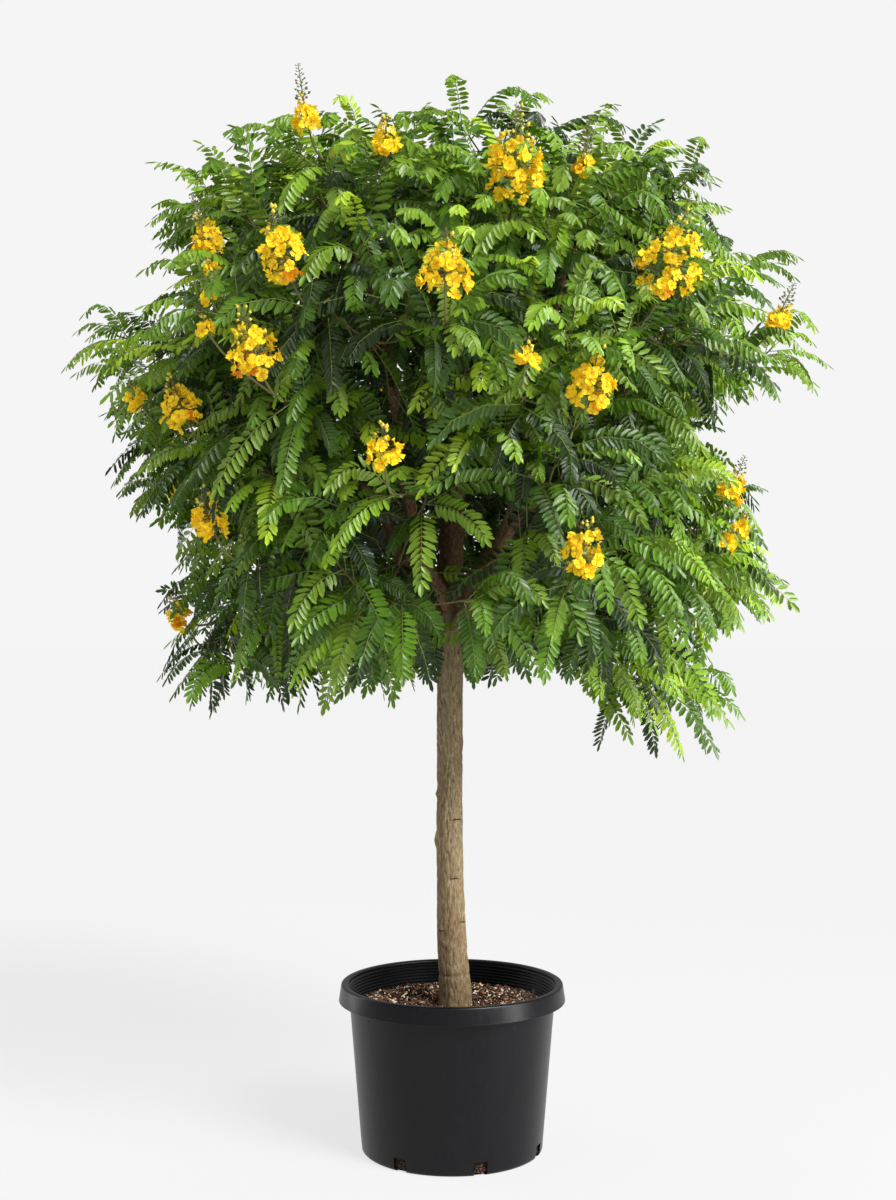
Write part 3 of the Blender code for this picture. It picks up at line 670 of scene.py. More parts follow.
# %% Where the crown lets the sky through
# middle and half size of each opening, as across, away and up
OPENINGS = np.array((
    ((0.68, 0.0, 1.585), (0.15, 0.50, 0.075)),
    ((-0.70, 0.0, 1.335), (0.12, 0.50, 0.070)),
    ((0.66, -0.1, 1.11), (0.10, 0.45, 0.050)),
    ((-0.76, 0.0, 1.97), (0.14, 0.45, 0.085)),
    ((-0.63, -0.1, 1.87), (0.10, 0.50, 0.050)),
    ((0.72, 0.0, 2.06), (0.14, 0.60, 0.055)),
    ((-0.12, -0.1, 2.33), (0.08, 0.40, 0.100)),
    ((0.26, -0.1, 2.31), (0.045, 0.40, 0.060)),
    ((-0.46, -0.1, 2.25), (0.08, 0.40, 0.055)),
    ((0.20, -0.1, 0.98), (0.13, 0.60, 0.11)),
    ((0.06, -0.1, 0.98), (0.16, 0.60, 0.08)),
    ((0.0, 0.75, 1.62), (0.40, 0.14, 0.06)),
    ((-0.35, 0.62, 1.28), (0.25, 0.14, 0.07)),
))
FRONT = (4.0, 1.27)  # distance and height that the tree is looked at from
# the windows that the boughs show through from there: from left to right and from low to
# high at the trunk's depth, and the share of leaves that stays in front
WINDOWS = (
    ((-0.03, 0.13), (1.28, 1.51), 0.10),
    ((-0.19, -0.10), (1.28, 1.50), 0.45),
    ((-0.10, -0.03), (1.26, 1.42), 0.35),
    ((-0.03, 0.035), (1.00, 1.28), 0.06),
    ((-0.16, -0.06), (1.60, 1.74), 0.50),
)
FRINGE = ((0.92, 0.38), (1.10, 1.0))  # height, and the share of leaf tips kept there


def openings_clear(points):
    """Whether each point is outside every opening."""
    apart = (points[:, None] - OPENINGS[None, :, 0]) / OPENINGS[None, :, 1]
    return ((apart ** 2).sum(2) > 1).all(1)


def share_kept(points):
    """How much of its foliage the crown keeps round each point, from 0 to 1."""
    share = np.interp(points[:, 2], *zip(*FRINGE))
    nearer = FRONT[0] / (FRONT[0] + points[:, 1])
    across = points[:, 0] * nearer
    up = FRONT[1] + (points[:, 2] - FRONT[1]) * nearer
    for (left, right), (low, high), kept in WINDOWS:
        inside = (points[:, 1] < 0) & (across > left) & (across < right) & (up > low) & (up < high)
        share = np.where(inside, np.minimum(share, kept), share)
    return np.where(openings_clear(points), share, 0)


# %% The outside of the crown, as points to measure depth from
turns, levels = np.meshgrid(np.linspace(-np.pi, np.pi, 120, endpoint=False),
                            np.linspace(CROWN_FOOT, CROWN_TOP, 70))
side_points = round_about(crown_reach(levels, turns), turns, levels)[levels >= underside(turns)]
turns, shares = np.meshgrid(np.linspace(-np.pi, np.pi, 60, endpoint=False), np.sqrt(np.linspace(0.02, 1, 25)))
low = underside(turns)
under_points = round_about(crown_reach(low, turns) * shares, turns, low).reshape(-1, 3)
shell = np.vstack([side_points, under_points])
shell_tree = KDTree(len(shell))
for index, point in enumerate(shell):
    shell_tree.insert(point, index)
shell_tree.balance()


def depth_of(point):
    """How far inside the crown's outside a point is."""
    return shell_tree.find(point)[2]


print("outside of the crown:", len(shell), "points")


# %% Masses and their stems
class Mass:
    """A mass of foliage: one stem at the tip of a limb, and the heart that it fills round."""

    def __init__(self, name, limb, bearing, lean):
        line, radii = limbs[limb]
        heading = unit(line[-1] - line[-2])
        start = line[-1]
        outward = direction(bearing, lean)
        far = 0.05
        while in_crown(start + outward * far)[0] and far < 1:
            far += 0.01
        far = max(far - BLADE_LENGTH * 0.8, LEAST_STEM)
        self.name = name
        self.stem = curve_through(start, start + heading * far * 0.45, start + outward * far, STEM_STEPS)
        self.heart = (self.stem[1] + self.stem[2]) / 2
        self.width = radii[-1]


masses = [Mass("crown_mass", "leader", LEADER[0], MASS_TIERS["crown"])]
for name, (bearing, *_) in BOUGHS.items():
    masses.append(Mass(f"{name}_top_mass", f"{name}_bough", bearing, MASS_TIERS["top"]))
    for tier, (_, turn, *_) in SIDE_LIMBS.items():
        masses.append(Mass(f"{name}_{tier}_mass", f"{name}_{tier}_limb", bearing + turn, MASS_TIERS[tier]))
hearts = np.array([mass.heart for mass in masses])
mass_names = [mass.name for mass in masses]
missing = set(mass_names) - set(frame["nodes"])
print(len(masses), "masses;", "no node for" if missing else "every one has its node", missing or "")

# %% [markdown]
# ## Where the shoots end
#
# A shoot ends in a spray of leaves, and some in a raceme of flowers. The racemes at the front
# have listed places, and those at the back are set out by the golden section. The other
# ends are spread by throwing points into the crown and keeping those far enough from the rest:
# close together near the outside, where there is light, and sparse inside.

# %% Where the racemes stand
# bearing, height of the middle, height of the cluster, length of its bud spike as a share
FRONT_RACEMES = (
    (242, 2.15, 0.070, 1.0),
    (257, 2.10, 0.065, 0.2),
    (282, 2.05, 0.165, 0.3),
    (296, 2.06, 0.045, 1.6),
    (221, 1.94, 0.080, 0.7),
    (246, 1.86, 0.125, 0.2),
    (269, 1.81, 0.120, 0.2),
    (306, 1.86, 0.175, 0.4),
    (326, 1.78, 0.060, 0.8),
    (234, 1.74, 0.030, 0.8),
    (241, 1.69, 0.130, 0.2),
    (208, 1.63, 0.050, 0.4),
    (222, 1.60, 0.105, 0.2),
    (291, 1.63, 0.120, 0.5),
    (259, 1.50, 0.085, 0.1),
    (224, 1.38, 0.100, 0.1),
    (292, 1.32, 0.105, 0.1),
    (333, 1.45, 0.070, 0.6),
    (336, 1.37, 0.045, 0.4),
    (326, 1.34, 0.040, 0.3),
    (194, 1.19, 0.065, 0.3),
    (231, 1.86, 0.022, 0.1),
    (235, 1.79, 0.022, 0.1),
    (280, 1.67, 0.050, 0.1),
)
BACK_RACEMES = 16
BACK_BEARINGS = (22, 158)
GOLDEN_SHARE = 0.618
RACEME_SINK = 0.05  # how far inside the crown's reach a raceme stands
RACEME_SEED = 5


def raceme_places():
    """The foot of each raceme, with its height and the length of its spike."""
    rng = np.random.default_rng(RACEME_SEED)
    listed = list(FRONT_RACEMES)
    for k in range(BACK_RACEMES):
        bearing = along(BACK_BEARINGS, (k + 0.5) / BACK_RACEMES)
        height = 1.25 + 0.90 * (k * GOLDEN_SHARE % 1)
        listed.append((bearing, height, rng.uniform(0.06, 0.12), rng.uniform(0.1, 0.7)))
    for number, (bearing, height, size, spike) in enumerate(listed):
        reach = crown_reach(height, math.radians(bearing)) - RACEME_SINK
        place = direction(bearing, 90) * reach + np.array((0, 0, height - size * 0.3))
        bare = number >= len(FRONT_RACEMES) and share_kept(place[None] * (0.9, 0.9, 1))[0] < 0.5
        if not bare:
            yield place, size, spike


racemes = list(raceme_places())
print("racemes:", len(racemes))

# %% Ends of the shoots
SHOOT_SEED = 11
OUTER_DEPTH = (0.085, 0.175)
OUTER_GAP = 0.100
INNER_GAP = 0.135
INNER_DEPTH = 0.24
THROWS = 26000
THROW_BOX = ((-0.9, -0.9, 0.87), (0.9, 0.9, 2.36))
CELL = 0.18  # side of the cells that neighbours are looked up in, wider than any gap
LEAST_FLOWERING = 0.03  # a raceme larger than this has a shoot of its own
HOLLOWS = 0.10  # how much deeper the outer shoots stand in the hollows between clumps
CLUMP_SIZE = 0.42
TRUNK_KEEP_OUT = 0.075
# the shoots that reach furthest and give the crown its outline: across, away, up
LEADING_SHOOTS = (
    (-0.74, 0.0, 1.80),
    (-0.70, -0.10, 1.70),
    (-0.56, 0.08, 2.13),
    (-0.56, -0.05, 2.05),
    (-0.64, 0.0, 1.58),
    (-0.63, -0.08, 1.47),
    (-0.58, 0.05, 1.23),
    (-0.56, 0.0, 1.16),
    (-0.53, -0.10, 1.11),
    (-0.46, -0.16, 1.08),
    (-0.33, -0.22, 2.18),
    (-0.20, -0.15, 2.22),
    (0.02, -0.10, 2.25),
    (0.13, 0.05, 2.28),
    (0.20, -0.12, 2.22),
    (0.40, 0.02, 2.18),
    (0.52, -0.04, 2.14),
    (0.65, 0.02, 1.96),
    (0.70, -0.06, 1.77),
    (0.62, 0.02, 1.71),
    (0.62, 0.0, 1.44),
    (0.65, 0.02, 1.29),
    (0.60, -0.06, 1.22),
    (0.57, 0.0, 1.06),
    (0.52, -0.08, 1.03),
    (0.44, -0.14, 1.04),
    (0.37, -0.20, 1.06),
    (0.48, 0.06, 1.07),
)


def shoot_ends(rng):
    """Each shoot's end, and whether it is one of the outer ones."""
    kept, cells = [], {}

    def cell_of(point):
        return tuple((point // CELL).astype(int))

    def near(point, gap):
        x, y, z = cell_of(point)
        for cell in itertools.product((x - 1, x, x + 1), (y - 1, y, y + 1), (z - 1, z, z + 1)):
            for other, other_gap in cells.get(cell, ()):
                if np.linalg.norm(other - point) < max(gap, other_gap):
                    return True
        return False

    def keep(point, gap, outer):
        cells.setdefault(cell_of(point), []).append((point, gap))
        kept.append((point, outer))

    for place in LEADING_SHOOTS:
        keep(np.array(place), OUTER_GAP * 0.8, True)
    for foot, size, _ in racemes:
        foot = foot * (0.90, 0.90, 1) - (0, 0, 0.05)
        if size > LEAST_FLOWERING and not near(foot, 0.05):
            keep(foot, OUTER_GAP * 0.6, True)
    throws = rng.uniform(*THROW_BOX, (THROWS, 3))
    throws = throws[in_crown(throws)]
    throws = throws[rng.random(len(throws)) < share_kept(throws) ** 2]
    clumps = np.array([0.5 + 0.5 * noise.noise(point / CLUMP_SIZE + (3, 1, 8)) for point in throws])
    depths = np.array([depth_of(point) for point in throws]) - HOLLOWS * np.clip(clumps * 1.6 - 0.3, 0, 1)
    for outer in (True, False):
        gap = OUTER_GAP if outer else INNER_GAP
        for point, depth in zip(throws, depths):
            fits = OUTER_DEPTH[0] < depth < OUTER_DEPTH[1] if outer else depth > INNER_DEPTH
            at_trunk = math.hypot(point[0], point[1]) < TRUNK_KEEP_OUT and point[2] < FORK_HEIGHT
            if fits and not at_trunk and not near(point, gap):
                keep(point, gap, outer)
    return kept


rng = np.random.default_rng(SHOOT_SEED)
ends = shoot_ends(rng)
print("shoots:", sum(outer for _, outer in ends), "outer,", sum(not outer for _, outer in ends), "inner")

# %% [markdown]
# ## Twigs from the stems to the shoots
#
# Every mass has its stem at the tip of a limb. Shoots join it one after another, nearest
# first, and each grows from the closest point of what is there already. That is how a tree
# fills its space, and it gives twigs that fork again and again with no crossing.

# %% Twigs
TWIG_POINTS = 6
TWIG_TIP = 0.0018
TWIG_FORK = 0.0012  # how much a twig thickens for each shoot it carries
STEM_POINTS = 9  # places on a stem that a twig can grow from
STEM_LEAST_RADIUS = 0.0028
SHOOT_LENGTH = 0.07  # leafy end of a shoot
# how much the shoots of each tier turn upwards
LIFT = {"crown": 0.5, "top": 0.45, "shoulder": 0.35, "waist": 0.18, "skirt": -0.12}


Shoot = namedtuple("Shoot", "end heading outer")


def grow_twigs(mass, targets, rng):
    """Joins the shoots' ends to the mass's stem. Load counts the shoots past each node."""
    tier = mass.name.split("_")[-2]
    stem = np.array([read_line(mass.stem, share) for share in np.linspace(0, 1, STEM_POINTS)])
    upright = unit(mass.stem[-1] - mass.stem[0])
    nodes = [(point, upright, k - 1) for k, point in enumerate(stem)]  # place, way, its parent
    lines, shoots = [], []
    order = sorted(targets, key=lambda item: np.linalg.norm(stem - item[0], axis=1).min())
    for end, outer in order:
        places = np.array([node[0] for node in nodes])
        ways = np.array([node[1] for node in nodes])
        gaps = end - places
        far = np.linalg.norm(gaps, axis=1)
        ahead = (unit(gaps) * ways).sum(1)
        pick = int(np.argmin(far * (1.35 - 0.35 * ahead) + np.where(far < 0.03, 1, 0)))
        origin, way, _ = nodes[pick]
        length = far[pick]
        out = unit(np.array((end[0], end[1], 0.12)))
        heading = unit(gaps[pick] / length * 0.8 + out * 0.5 + np.array((0, 0, LIFT[tier]))
                       + rng.normal(0, 0.15, 3))
        reach = way * length * 0.35
        arrive = end - heading * min(length * 0.35, 0.08)
        t = np.linspace(0, 1, TWIG_POINTS)[:, None]
        curve = (origin * (1 - t) ** 3 + (origin + reach) * 3 * t * (1 - t) ** 2
                 + arrive * 3 * t ** 2 * (1 - t) + end * t ** 3)
        lines.append(curve)
        parent = pick
        for k in range(2, TWIG_POINTS):
            nodes.append((curve[k], unit(curve[k] - curve[k - 1]), parent))
            parent = len(nodes) - 1
        shoots.append(Shoot(end, heading, outer))
    load = np.zeros(len(nodes))
    for k in range(len(lines)):
        node = STEM_POINTS + (k + 1) * (TWIG_POINTS - 2) - 1
        while node >= 0:
            load[node] += 1
            node = nodes[node][2]
    return stem, load, lines, shoots


def twig_radius(load):
    """A twig's radius where so many shoots hang on it."""
    return TWIG_TIP + TWIG_FORK * (np.sqrt(np.maximum(load, 1)) - 1)


owned = [[] for _ in masses]
for point, outer in ends:
    owned[int(np.linalg.norm(hearts - point, axis=1).argmin())].append((point, outer))
heap, shoots = Heap(), []
for mass, targets in zip(masses, owned):
    stem, load, lines, grown = grow_twigs(mass, targets, rng)
    stem_radii = np.maximum(np.minimum(twig_radius(load[:STEM_POINTS]), mass.width), STEM_LEAST_RADIUS)
    stem_radii[0] = mass.width
    add_tubes(heap, stem[None], stem_radii[None], 7)
    twig_loads = load[STEM_POINTS:].reshape(len(lines), TWIG_POINTS - 2)
    for curve, loads in zip(lines, twig_loads):
        loads = np.concatenate([loads[:1], loads[:1], loads])
        add_tubes(heap, curve[None], twig_radius(loads)[None], 5)
    shoots += grown
twig_bark = bark_finish("twig bark", rgb(126, 118, 78), rgb(104, 88, 58), rgb(66, 52, 36), rgb(96, 104, 52))
twigs = heap.piece("twigs", twig_bark, "bough_bark")
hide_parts(*mass_names)
print("shoots grown:", len(shoots))

# %% [markdown]
# ## Feathered leaves
#
# One leaf is a midrib with thirteen pairs of oblong leaflets, and fewer deep in the crown. The
# midrib sets out from the shoot and sags towards its tip. The leaves turn round the shoot by
# the golden angle, nearly in line with it at its end and spread wide at its foot.

# %% Midribs
RIB_STEPS = 8
LEAVES_OUTER = 9
LEAVES_INNER = 6
LEAF_LENGTH = (0.175, 0.260)
LEAF_OPENING = (24, 92)  # degrees from the shoot, at its end and at its foot
LEAF_OPENING_CHANCE = 9
LEAF_AIM_CHANCE = 0.12
SAG = (0.95, 1.75)
CLEAR_OF_TRUNK = 0.05
GOLDEN_TURN = math.radians(137.5)
LEAF_SCALES = (1.0, 0.86, 0.72, 0.58)  # tried in turn until the leaf keeps inside the crown


def across_of(headings):
    """A direction at right angles to each heading."""
    helper = np.where(np.abs(headings[:, 2:]) > 0.9, (1.0, 0, 0), (0, 0, 1.0))
    return unit(np.cross(headings, helper))


def ribs(roots, aims, lengths, sags):
    """Midribs as (leaf, step, 3): straight at first, then falling towards the tip."""
    s = (np.arange(RIB_STEPS) + 0.5) / RIB_STEPS
    ways = unit(aims[:, None] - np.array((0, 0, 1.0)) * sags[:, None, None] * (s ** 1.9)[None, :, None])
    steps = ways * lengths[:, None, None] / RIB_STEPS
    return np.concatenate([roots[:, None], roots[:, None] + np.cumsum(steps, axis=1)], 1)


def lowness(height):
    """1 at the crown's lower edge, falling to 0 in its upper part."""
    return 1 - np.clip((height - 1.1) / 0.9, 0, 1)


roots, aims, lengths, sags, spray_of, rank = [], [], [], [], [], []
for number, shoot in enumerate(shoots):
    count = LEAVES_OUTER if shoot.outer else LEAVES_INNER
    phase = rng.uniform(0, 2 * math.pi)
    side = across_of(shoot.heading[None])[0]
    other = np.cross(shoot.heading, side)
    out = unit(np.array((shoot.end[0], shoot.end[1], 0.0)))
    low = lowness(shoot.end[2])
    for k in range(count):
        share = k / (count - 1)  # 0 at the tip of the shoot
        turn = phase + k * GOLDEN_TURN
        opening = math.radians(along(LEAF_OPENING, share ** 0.8) + rng.normal(0, LEAF_OPENING_CHANCE))
        ring = side * math.cos(turn) + other * math.sin(turn)
        aim = shoot.heading * math.cos(opening) + ring * math.sin(opening)
        aim = aim + out * 0.14 + np.array((0, 0, 0.26 - 0.46 * low)) + rng.normal(0, LEAF_AIM_CHANCE, 3)
        roots.append(shoot.end - shoot.heading * SHOOT_LENGTH * share)
        aims.append(unit(aim))
        grown = 0.62 + 0.38 * math.sin(math.pi * min(share * 0.9 + 0.22, 1))
        lengths.append(rng.uniform(*LEAF_LENGTH) * grown)
        sags.append(rng.uniform(*SAG) + 0.10 * low)
        spray_of.append(number)
        rank.append(k)
roots, aims, lengths = np.array(roots), np.array(aims), np.array(lengths)
sags, spray_of, rank = np.array(sags), np.array(spray_of), np.array(rank)

scale = np.zeros(len(roots))
luck = rng.random(len(roots))
for factor in LEAF_SCALES:
    line = ribs(roots, aims, lengths * factor, sags)
    middle, tip = line[:, 5], line[:, -1]
    inside = in_crown(tip) & in_crown(middle) & (np.hypot(tip[:, 0], tip[:, 1]) > CLEAR_OF_TRUNK)
    inside &= luck < np.minimum(share_kept(tip), share_kept(middle))
    scale = np.where((scale == 0) & inside, factor, scale)
kept = scale > 0
roots, aims, lengths, sags = roots[kept], aims[kept], (lengths * scale)[kept], sags[kept]
spray_of, rank = spray_of[kept], rank[kept]
rib_lines = ribs(roots, aims, lengths, sags)
print("leaves:", len(roots), "left out:", int((~kept).sum()))

# %% [markdown]
# ## Leaflets
#
# The outline of one leaflet is drawn once in shares of its length and width: six triangles
# round a folded middle, so it catches light on one half at a time. Arrays then lay it along
# every midrib. Its size swells in the middle of the leaf, its angle closes towards the tip, it
# hangs a little like half of a roof, and chance keeps any two from matching.

# %% Leaflet outline and how it is laid out
# share along, share across, share of the width that it stands up
LEAFLET_OUTLINE = np.array((
    (0.00, 0.00, 0.00),
    (0.26, -0.44, 0.10), (0.26, 0.44, 0.10),
    (0.76, -0.46, 0.08), (0.76, 0.46, 0.08),
    (1.00, 0.00, -0.08),
    (0.50, 0.00, -0.14),
))
LEAFLET_FACES = ((0, 6, 1), (1, 6, 3), (3, 6, 5), (5, 6, 4), (4, 6, 2), (2, 6, 0))
# deep in the crown a leaflet is flat and has no middle
PLAIN_OUTLINE = LEAFLET_OUTLINE[:6]
PLAIN_FACES = ((0, 5, 3), (0, 3, 1), (0, 4, 5), (0, 2, 4))
LEAFLET_LENGTH = 0.140  # share of the leaf's length
LEAFLET_WIDTH = 0.34  # share of the leaflet's length
PAIRS_FULL = 13
PAIRS_PLAIN = 11
PAIRED_SHARES = (0.17, 0.955)  # of the midrib, where the first and the last pair stand
LEAFLET_CHANCE = 0.10  # in radians, on the angle and the hang of each leaflet


def leaflets(lines, lengths, facings, hangs, pairs, outline, rng):
    """Points of every leaflet as (leaflet, point, 3), pairs along each midrib and one at its tip."""
    leaves = len(lines)
    shares = np.concatenate([np.linspace(*PAIRED_SHARES, pairs), [0.985]])
    place = shares * RIB_STEPS
    low = np.minimum(place.astype(int), RIB_STEPS - 1)
    part = (place - low)[None, :, None]
    base = lines[:, low] * (1 - part) + lines[:, low + 1] * part
    ways = unit(lines[:, low + 1] - lines[:, low])
    across = unit(np.cross(ways, facings[:, None]))
    above = np.cross(across, ways)
    swell = 0.70 + 0.34 * np.sin(np.pi * np.clip(shares * 0.92 + 0.05, 0, 1))
    opening = np.radians(72 - 34 * shares ** 1.5)
    found = []
    for side in (-1, 1):
        tilt = rng.normal(0, 0.09, (leaves, pairs, 1))
        angle = opening[None, :pairs, None] + rng.normal(0, LEAFLET_CHANCE, (leaves, pairs, 1))
        hang = hangs[:, None, None] + rng.normal(0, LEAFLET_CHANCE, (leaves, pairs, 1))
        run = unit(ways[:, :pairs] * np.cos(angle) + side * across[:, :pairs] * np.sin(angle)
                   - above[:, :pairs] * hang)
        flat = unit(np.cross(run, above[:, :pairs] + ways[:, :pairs] * tilt))
        size = swell[None, :pairs, None] * rng.uniform(0.88, 1.10, (leaves, pairs, 1))
        found.append((base[:, :pairs], run, flat, size))
    found.append((base[:, pairs:], ways[:, pairs:], across[:, pairs:], np.full((leaves, 1, 1), 0.9)))
    shapes = []
    for spot, run, flat, size in found:
        normal = np.cross(flat, run)
        long = size * (lengths * LEAF_LENGTH[1])[:, None, None] ** 0.5 * LEAFLET_LENGTH
        wide = long * LEAFLET_WIDTH
        points = (spot[:, :, None] + run[:, :, None] * (long[:, :, None] * outline[None, None, :, :1])
                  + flat[:, :, None] * (wide[:, :, None] * outline[None, None, :, 1:2])
                  + normal[:, :, None] * (wide[:, :, None] * outline[None, None, :, 2:]))
        shapes.append(points.reshape(-1, len(outline), 3))
    return np.concatenate(shapes)


# %% [markdown]
# ## Greens, dealt out by spray
#
# New leaves at the shoots' ends are yellow-green. The other greens, from bright to nearly
# bottle green, are lighter and darker copies of one leaf: sprays high in the crown get more of
# the light ones, as painted light, and sprays deep in the crown get the dark ones, as painted
# shade. Each spray gets one of these, its end leaf is a step brighter and its older leaves are
# darker, partly from age and partly as painted shade. A leaf lets some light through, so a
# translucent layer is mixed with the waxy upper surface.

# %% Leaf finishes
LEAF_GLOW = 0.18  # share of light that goes through


def leaf_finish(name, face, fresh, glow):
    """Old and fresh green in patches, under a fine grain that breaks up the shine."""
    finish = Finish(name, Roughness=0.4, Specular_IOR_Level=0.52)
    mottle = finish.noise(0.030, detail=2)
    grain = finish.noise(0.004, detail=2)
    finish.colour(finish.mix(finish.between(mottle, -0.3, 1.2), face, fresh))
    finish.roughness(finish.between(grain, 0.30, 0.48))
    finish.bump(grain, 0.0005, 0.4)
    finish.let_light_through(LEAF_GLOW, glow)
    return finish


# from new to shade these are lighter and darker copies of one leaf: the bright ones are partly painted light,
# the deep and shaded ones partly painted shade
greens = {
    "new": leaf_finish("new leaf", rgb(152, 186, 34), rgb(180, 208, 60), rgb(190, 214, 40)),
    "bright": leaf_finish("bright leaf with painted light", rgb(108, 148, 24), rgb(138, 174, 46), rgb(156, 190, 30)),
    "olive": leaf_finish("olive leaf", rgb(98, 132, 26), rgb(124, 154, 44), rgb(138, 170, 30)),
    "mid": leaf_finish("mid leaf", rgb(76, 116, 15), rgb(98, 136, 28), rgb(120, 158, 18)),
    "deep": leaf_finish("deep leaf with painted shade", rgb(49, 83, 7), rgb(65, 98, 15), rgb(86, 121, 9)),
    "shade": leaf_finish("painted shade leaf", rgb(26, 49, 3), rgb(37, 63, 6), rgb(49, 78, 4)),
}
ORDER = tuple(greens)[::-1]  # from dark to light

# %% Which leaf gets which green
AGEING_AND_PAINTED_SHADE = ((2, 0), (3, 1), (5, 1), (6, 2), (7, 2.5))  # place on the shoot, steps darker: older leaves are darker, and partly painted shade, since the lower leaves sit deeper in the crown
# share of the inner sprays given the darkest green, as painted shade
PAINTED_SHADE_INSIDE = 0.6
# the share of sprays up to and with each green, at the crown's foot and what its top adds: the lighter greens
# added high up are painted light
SPRAY_SHARES_WITH_PAINTED_LIGHT = (("new", 0.035, 0.0), ("bright", 0.14, 0.30), ("olive", 0.30, 0.42), ("mid", 0.86, 0.0))


def green_of(shoot, rng):
    """The green of a shoot's spray, drawn by chance: lighter high up as painted light, and darkest inside the
    crown as painted shade.
    """
    if not shoot.outer:
        return "shade" if rng.random() < PAINTED_SHADE_INSIDE else "deep"
    height = np.clip((shoot.end[2] - 1.1) / 1.1, 0, 1)
    roll = rng.random()
    for green, foot, rise in SPRAY_SHARES_WITH_PAINTED_LIGHT:
        if roll < foot + rise * height:
            return green
    return "deep"


spray_green = [green_of(shoot, rng) for shoot in shoots]
leaf_green = []
for spray, place in zip(spray_of, rank):
    green = spray_green[spray]
    if shoots[spray].outer:
        step = 1 if place == 0 and green != "new" else -int(np.interp(place, *zip(*AGEING_AND_PAINTED_SHADE)))
        green = ORDER[max(min(ORDER.index(green) + step, len(ORDER) - 1), 0)]
    leaf_green.append(green)
leaf_green = np.array(leaf_green)

# %% Which way the leaves face
BACK_LEAVES = 0.25  # from this far back, low leaves turn to the back instead of to the front
outward = unit(np.stack([roots[:, 0], roots[:, 1], np.zeros(len(roots))], 1))
low = lowness(roots[:, 2:])
unrest = rng.normal(0, 1, (len(roots), 3)) * (0.26 + 0.24 * low)
spread = np.where(roots[:, 1:2] < BACK_LEAVES, -0.6, 0.6) * low * (0, 1, 0)
facings = unit((1 - 0.45 * low) * (0, 0, 1) + outward * (0.40 + 0.60 * low) + spread + unrest)
hangs = 0.28 + 0.34 * (1 - low[:, 0])
outer_leaf = np.array([shoots[spray].outer for spray in spray_of])

# %% Leaves in their greens
# each kind of leaf: whether it is an outer one, its pairs, a leaflet's outline and its faces
LEAF_KINDS = (
    (True, PAIRS_FULL, LEAFLET_OUTLINE, LEAFLET_FACES),
    (False, PAIRS_PLAIN, PLAIN_OUTLINE, PLAIN_FACES),
)
for green, finish in greens.items():
    heap = Heap()
    for outer, pairs, outline, faces in LEAF_KINDS:
        chosen = (leaf_green == green) & (outer_leaf == outer)
        if chosen.any():
            laid = leaflets(rib_lines[chosen], lengths[chosen], facings[chosen], hangs[chosen],
                            pairs, outline, rng)
            heap.stamp(laid, faces)
    piece = heap.piece(f"leaves_{green}", finish, "foliage", smooth=False)
    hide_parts(*mass_names)

# %% Midribs and their stalks
RIB_RADII = (0.0013, 0.0010, 0.0007, 0.0004)
RIB_PLACES = [0, 3, 6, RIB_STEPS]  # steps of the midrib that have those radii
heap = Heap()
add_tubes(heap, rib_lines[:, RIB_PLACES], np.tile(RIB_RADII, (len(rib_lines), 1)), 3)
rib_finish = two_tone("leaf rib", 0.02, rgb(96, 124, 52), rgb(138, 150, 74), Roughness=0.55)
heap.piece("leaf_ribs", rib_finish, "foliage")

# %% [markdown]
# ## Flowers
#
# The flowers stand in loose racemes: open ones in a lumpy cone, yellow buds among them, and a
# spike of small dark buds above. Each flower has five crinkled petals and an orange middle.
# One petal is drawn once and turned into place. The racemes at the front stand where the
# solids' clusters stand, and there are sixteen at the back.

# %% One petal, and a flower made of five
RACEME_SHAPE = ((0.0, 0.16), (0.22, 0.32), (0.50, 0.27), (0.72, 0.13))  # share up, radius
FLOWER_RADIUS = (0.0097, 0.0140)
FULL_SIZE = 0.12  # height of a raceme that has these many flowers and yellow buds
FLOWERS_EACH = 40
BUDS_EACH = 16
YELLOW_REACH = ((0.30, 0.27), (0.95, 0.10))  # share up, how far from the axis the buds stand
SPIKE_START = 0.72
WILTED_SHARE = 0.12
WILTED_BELOW = 0.30
# share out, share across, share up towards the flower's face
PETAL = np.array((
    (0.05, 0.00, 0.00),
    (0.36, -0.24, 0.20), (0.36, 0.24, 0.20),
    (0.74, -0.50, 0.36), (0.74, 0.50, 0.22),
    (1.00, -0.24, 0.16), (1.00, 0.24, 0.36),
    (0.64, 0.00, 0.20),
))
PETAL_FACES = np.array(((0, 7, 1), (1, 7, 3), (3, 7, 5), (5, 7, 6), (6, 7, 4), (4, 7, 2), (2, 7, 0)))
BUD = np.array(((0, 0, -1), (1, 0, 0), (0, 1, 0), (-1, 0, 0), (0, -1, 0), (0, 0, 1.0)))
BUD_FACES = ((0, 2, 1), (0, 3, 2), (0, 4, 3), (0, 1, 4), (5, 1, 2), (5, 2, 3), (5, 3, 4), (5, 4, 1))


def frames(facings, rng):
    """Three axes for each facing, turned by chance about it: (shape, axis, 3)."""
    side = across_of(facings)
    other = np.cross(facings, side)
    turn = rng.uniform(0, 2 * np.pi, (len(facings), 1))
    first = side * np.cos(turn) + other * np.sin(turn)
    return np.stack([first, np.cross(facings, first), facings], 1)


def round_axis(axis, turns):
    """Directions at right angles to an axis, one for each turn about it."""
    side = across_of(axis[None])[0]
    other = np.cross(axis, side)
    return side * np.cos(turns)[:, None] + other * np.sin(turns)[:, None]


